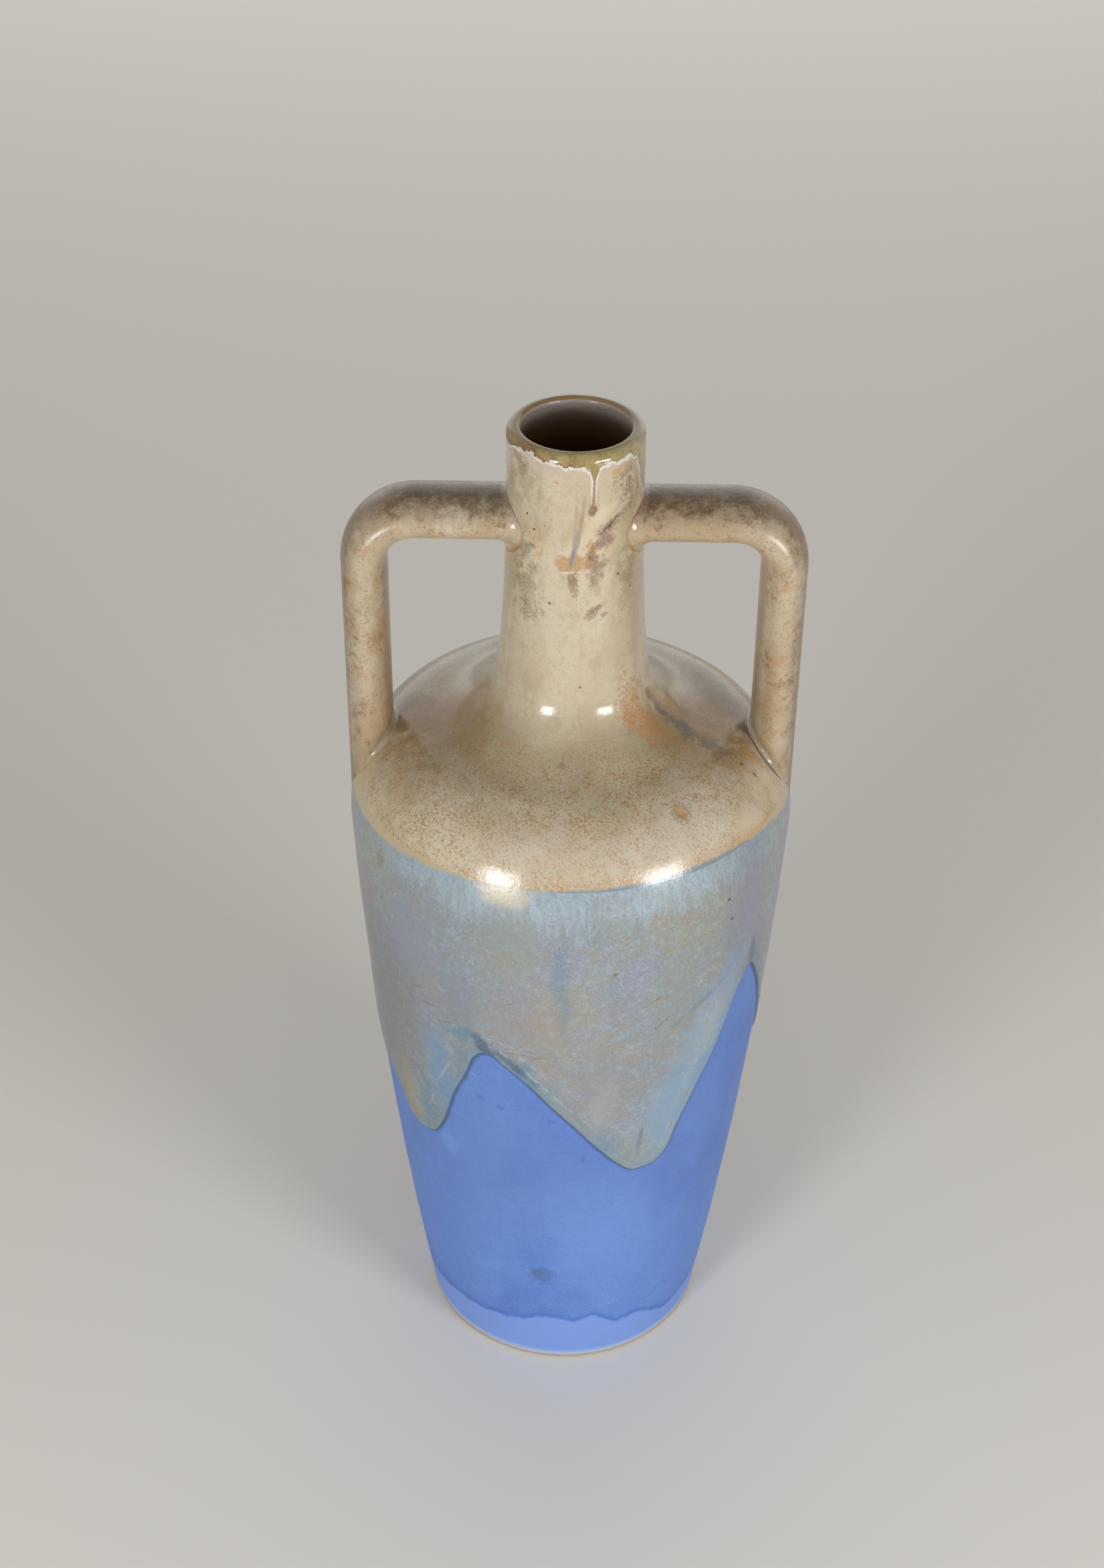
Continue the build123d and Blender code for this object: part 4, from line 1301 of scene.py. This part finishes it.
def make_drip_coat(material):
    """Drip glaze, whose rows follow its own lower edge and whose edge is a raised bead."""
    even_rows = 44
    inner_rows = 10
    outer_side = 2.0
    inner_side = 1.0
    bead_last = len(BEAD_ROWS) - 1
    last = bead_last + even_rows
    outer = [(outer_side, float(row)) for row in range(last + 1)]
    inner = [(inner_side, last * row / inner_rows) for row in range(inner_rows + 1)]
    bm = spun(outer + inner[::-1], SEGMENTS)
    slants = {}

    def drape(place):
        degrees = azimuth(place)
        key = round(degrees, 3)
        if key not in slants:
            slants[key] = edge_slant(degrees)
        low, slant = slants[key]
        row = place.z
        if row < bead_last:
            whole = int(row)
            reach = BEAD_ROWS[whole] + (BEAD_ROWS[whole + 1] - BEAD_ROWS[whole]) * (row - whole)
            height = low + reach * slant
        else:
            bead_top = low + BEAD_ROWS[-1] * slant
            height = bead_top + (GLAZE_SEAM - bead_top) * (row - bead_last) / even_rows
        base = radius_at(height) - UPPER_COAT
        if math.hypot(place.x, place.y) < (inner_side + outer_side) / 2:
            return around(degrees, base - 0.1, height)
        distance = max((height - low) / slant, 0.0)
        rise = math.sqrt(1 - (1 - min(distance / BEAD_RADIUS, 1.0)) ** 2)
        coat = BEAD_THICKNESS + (UPPER_COAT - BEAD_THICKNESS) * smoothstep(BEAD_RADIUS, BEAD_FADE, distance)
        free = smoothstep(GLAZE_SEAM, GLAZE_SEAM - 8.0, height)
        uneven = wobble(around(degrees, RUN_RADIUS, height), 9.0, 0.1) - 0.08
        thickness = (coat + EDGE_SINK + free * uneven) * rise - EDGE_SINK
        return around(degrees, base + thickness, height)

    move(bm, drape)
    rules = [("run_distance", from_run)]
    add_piece(bm, "drip_glaze_coat", material, "upper_drip_glaze", rules)


def make_dome(material):
    """Domed shoulder with its crater in the glaze."""
    outer = between(GLAZE_SEAM, NECK_SEAM, WARE, 0.45)
    inner = between(GLAZE_SEAM, NECK_SEAM, HOLLOW, 3.0)
    bm = spun(outer + inner[::-1], DOME_SEGMENTS)
    crater = on_dome(*CRATER)
    rim_height, rim_radius, rim_width = 0.22, 2.0, 0.7
    pit_depth, pit_radius = 0.4, 1.1

    def uneven(place):
        across = math.hypot(place.x, place.y)
        if place.z < height_at(across) - 1.0:
            return place
        low_end = smoothstep(GLAZE_SEAM, GLAZE_SEAM + 4.0, place.z)
        high_end = smoothstep(NECK_SEAM, NECK_SEAM - 3.0, place.z)
        away = (place - crater).length
        rim = rim_height * math.exp(-(((away - rim_radius) / rim_width) ** 2))
        pit = pit_depth * math.exp(-((away / pit_radius) ** 2))
        return place + Vector((0, 0, low_end * high_end * wobble(place, 11.0, 0.09) + rim - pit))

    move(bm, uneven)
    add_piece(bm, "glazed_dome", material, "shoulder_dome")


# Runs of glaze from the lip, as (degrees, lower end, width, thickness, radius of the drop at its end)
LIP_RUNS = ((15.2, 285.0, 0.55, 0.22, 1.1), (65.5, 282.0, 0.4, 0.13, 0.5))


def lip_run(place):
    """Thickness of the glaze that runs down from the lip, at the front and at the right."""
    degrees = azimuth(place)
    thickness = 0.0
    for centre, low, width, height, drop_radius in LIP_RUNS:
        across = math.radians(degrees - centre) * NECK_TOP[0]
        length = smoothstep(low - 0.4, low + 0.6, place.z) * smoothstep(299.0, 297.0, place.z)
        bead = math.exp(-((across / width) ** 2)) * length
        drop = math.exp(-((math.hypot(across, place.z - low) / drop_radius) ** 2))
        thickness = max(thickness, height * max(bead, drop))
    return thickness


def between_knots(knots, degrees):
    """Height of a line of (degrees, height) knots at an azimuth."""
    for (low, z0), (high, z1) in zip(knots, knots[1:]):
        if low <= degrees <= high:
            return z0 + (z1 - z0) * (degrees - low) / (high - low)
    return knots[-1][1]


def make_neck(material):
    """Neck with its flare."""
    top = NECK_TOP[1]
    bore_end = 260.0
    throat_end = 240.0
    outer = between(NECK_SEAM, top, WARE, 0.7)
    bore = [(BORE_RADIUS, height) for height in (top, top - NEAR_SEAM, bore_end)]
    throat = between(NECK_SEAM, throat_end, HOLLOW, 2.0)
    bm = spun(outer + bore + throat[::-1], SEGMENTS)

    def uneven(place):
        if math.hypot(place.x, place.y) < radius_at(place.z) - 1.0:
            return place
        low_end = smoothstep(NECK_SEAM, NECK_SEAM + 4.0, place.z)
        high_end = smoothstep(top, top - 4.0, place.z)
        return outward(place, low_end * high_end * wobble(place, 12.0, 0.07) + lip_run(place))

    move(bm, uneven)
    add_piece(bm, "glazed_neck", material, "neck_tube")


def quarter(centre, radius, start, steps):
    """Points along a quarter of a circle, from the angle start on."""
    return [leaning(centre, start + math.pi / 2 * step / steps, radius) for step in range(steps + 1)]


def make_lip(material):
    """Thick rounded lip."""
    low = NECK_TOP[1]
    side_step = 0.5
    side = [(NECK_TOP[0], height) for height in (low, low + NEAR_SEAM)]
    side += [(NECK_TOP[0], low + side_step * step) for step in range(1, 11)]
    outer_centre = (NECK_TOP[0] - LIP_OUTER_ROUND, LIP_TOP - LIP_OUTER_ROUND)
    inner_centre = (BORE_RADIUS + LIP_INNER_ROUND, LIP_TOP - LIP_INNER_ROUND)
    outer_round = quarter(outer_centre, LIP_OUTER_ROUND, 0.0, 14)
    inner_round = quarter(inner_centre, LIP_INNER_ROUND, math.pi / 2, 5)
    bore = [(BORE_RADIUS, height) for height in (298.5, 297.0, 295.0, low + NEAR_SEAM, low)]
    bm = spun(side + outer_round + inner_round + bore, SEGMENTS)
    roll_thickness, roll_below, roll_width = 0.13, 0.8, 0.8

    def uneven(place):
        if math.hypot(place.x, place.y) < BORE_RADIUS + LIP_INNER_ROUND:
            return place
        above = place.z - between_knots(LIP_LINE, azimuth(place))
        roll = roll_thickness * math.exp(-(((above + roll_below) / roll_width) ** 2))
        lifted = outward(place, roll + lip_run(place))
        return Vector((lifted.x, lifted.y, min(lifted.z, LIP_TOP)))

    move(bm, uneven)
    add_piece(bm, "glazed_lip", material, "rounded_lip")


# Points round a strap
RING = 72


def oval(turn, growth=0.0):
    """Point of the strap's section: along its width, and through its thickness."""
    return (
        (STRAP_HALF_WIDTH + growth) * math.sin(turn),
        (STRAP_HALF_THICKNESS + growth) * math.cos(turn),
    )


def strap_rings():
    """Rings of the left handle from the neck to the shoulder."""
    start_x = 14.1
    seat_depth = 1.0
    arm_steps = 16
    bend_steps = 20
    leg_steps = 30
    bend_x = LEG_X - BEND_RADIUS
    bend_z = ARM_HEIGHT - BEND_RADIUS
    rings = []

    def add(centre, up):
        sections = [oval(2 * math.pi * step / RING) for step in range(RING)]
        rings.append([centre + Vector((0, across, 0)) + up * through for across, through in sections])

    def seat_point(x, y):
        return Vector((x, y, height_at(math.hypot(x, y)) - seat_depth))

    for step in range(arm_steps):
        x = start_x + (bend_x - start_x) * step / arm_steps
        add(Vector((-x, 0, ARM_HEIGHT)), Vector((0, 0, 1)))
    for step in range(bend_steps + 1):
        angle = math.pi / 2 * step / bend_steps
        up = Vector((-math.sin(angle), 0, math.cos(angle)))
        add(Vector((-bend_x, 0, bend_z)) + up * BEND_RADIUS, up)
    top = rings[-1]
    seat = [seat_point(point.x, point.y) for point in top]
    for step in range(1, leg_steps + 1):
        rings.append([high.lerp(low, step / leg_steps) for high, low in zip(top, seat)])
    for shrink in (0.66, 0.33, 0.08):
        rings.append([seat_point(-LEG_X + (point.x + LEG_X) * shrink, point.y * shrink) for point in seat])
    return rings


def mirrored(rings, side):
    """Rings of the left handle, or turned over to the right."""
    return [[Vector((-side * point.x, point.y, point.z)) for point in ring] for ring in rings]


# The joining clay's fillet has this many rings, and starts this far inside the strap's surface
FILLET_RINGS = 9
FILLET_INSET = 0.03


def neck_point(turn, growth, sink):
    """Point of the neck beside the left arm, growth away from the strap and sink below the surface."""
    across, through = oval(turn, -FILLET_INSET)
    away = Vector((across / STRAP_HALF_WIDTH**2, through / STRAP_HALF_THICKNESS**2)).normalized()
    y, z = across + away.x * growth, ARM_HEIGHT + through + away.y * growth
    radius = radius_at(z) - sink
    return Vector((-math.sqrt(max(radius**2 - y**2, 1.0)), y, z))


def shoulder_point(turn, growth, sink):
    """Point of the shoulder beside the left leg, as on the neck."""
    across, through = oval(turn, -FILLET_INSET)
    away = Vector((-through / STRAP_HALF_THICKNESS**2, across / STRAP_HALF_WIDTH**2)).normalized()
    x, y = -LEG_X - through + away.x * growth, across + away.y * growth
    radius = min(math.hypot(x, y), SHOULDER[0] - 0.35)
    return Vector((x, y, height_at(radius) - sink))


def neck_reach(turn):
    """How far the fillet reaches along the arm and over the neck, most of all under the arm."""
    under = (1 - math.cos(turn)) / 2
    beside = abs(math.sin(turn))
    return 2.0 + 3.2 * under, 0.9 + 2.7 * under**2 + 0.4 * beside


def shoulder_reach(turn):
    """How far the fillet reaches up the leg and over the shoulder, next to nothing on the outside."""
    inner_side = smoothstep(-0.75, 0.3, -math.cos(turn))
    return 0.15 + 2.4 * inner_side, 0.05 + 1.7 * inner_side


def collar_rings(point, reach, strap_way, pull, rim_sink, foot_share, foot_sink, core):
    """Fillet of clay round the left handle's end: from the strap to its rim on the ware, and back inside.

    pull is how hollow the fillet is, and core the growth and sink of its innermost ring.
    """
    rings = [[] for _ in range(FILLET_RINGS + 3)]
    for step in range(RING):
        turn = 2 * math.pi * step / RING
        along, spread = reach(turn)
        corner = point(turn, 0.0, 0.0)
        end = corner + strap_way * along
        rim = point(turn, spread, rim_sink)
        fillet = interpolate_bezier(end, end.lerp(corner, pull), rim.lerp(corner, pull), rim, FILLET_RINGS)
        inner = point(turn, *core)
        middle = inner + strap_way * ((end - inner).dot(strap_way) / 2)
        section = [*fillet, point(turn, spread * foot_share, foot_sink), inner, middle]
        for ring, place in zip(rings, section):
            ring.append(place)
    return rings


def neck_collar_rings():
    """Clay round the left arm's end, where it meets the neck."""
    return collar_rings(
        neck_point,
        neck_reach,
        strap_way=Vector((-1, 0, 0)),
        pull=0.62,
        rim_sink=0.03,
        foot_share=0.8,
        foot_sink=0.6,
        core=(-0.5, 0.8),
    )


def shoulder_collar_rings():
    """Clay round the left leg's end, where it meets the shoulder."""
    return collar_rings(
        shoulder_point,
        shoulder_reach,
        strap_way=Vector((0, 0, 1)),
        pull=0.6,
        rim_sink=0.04,
        foot_share=0.7,
        foot_sink=0.7,
        core=(-0.6, 0.9),
    )


def make_handles(material, neck_joint, shoulder_joints):
    """Both handles with the clay that joins them to the ware."""
    strap, neck_collar, shoulder_collar = strap_rings(), neck_collar_rings(), shoulder_collar_rings()
    for side, name, shoulder_joint in zip((-1, 1), ("left", "right"), shoulder_joints):
        parts = (
            ("handle_strap_", "handle_", strap, False, material, "handle_glaze"),
            ("neck_collar_", "neck_lute_", neck_collar, True, neck_joint, "lute_glaze"),
            ("shoulder_collar_", "shoulder_lute_", shoulder_collar, True, shoulder_joint, "lute_glaze"),
        )
        for piece, node, rings, joined, finish, slot in parts:
            add_piece(loft(mirrored(rings, side), joined), piece + name, finish, node + name)


make_camera()
make_studio()

for node, material in (("foot_base", bare_finish()), ("body_wall", inner_finish())):
    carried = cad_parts[node]
    carried.data.materials.clear()
    carried.data.materials.append(material)

make_blue_coat(blue_finish())
make_drip_coat(drip_finish())
make_dome(dome_finish())
make_neck(neck_finish())
make_lip(lip_finish())
make_handles(
    handle_finish(),
    collar_finish("neck_joint_glaze", COLLAR_TAN, 5.7),
    (
        collar_finish("left_joint_glaze", BROWN, 6.8),
        collar_finish("right_joint_glaze", SLATE, 4.6),
    ),
)

bpy.context.scene.view_settings.view_transform = "Standard"

bpy.context.view_layer.update()
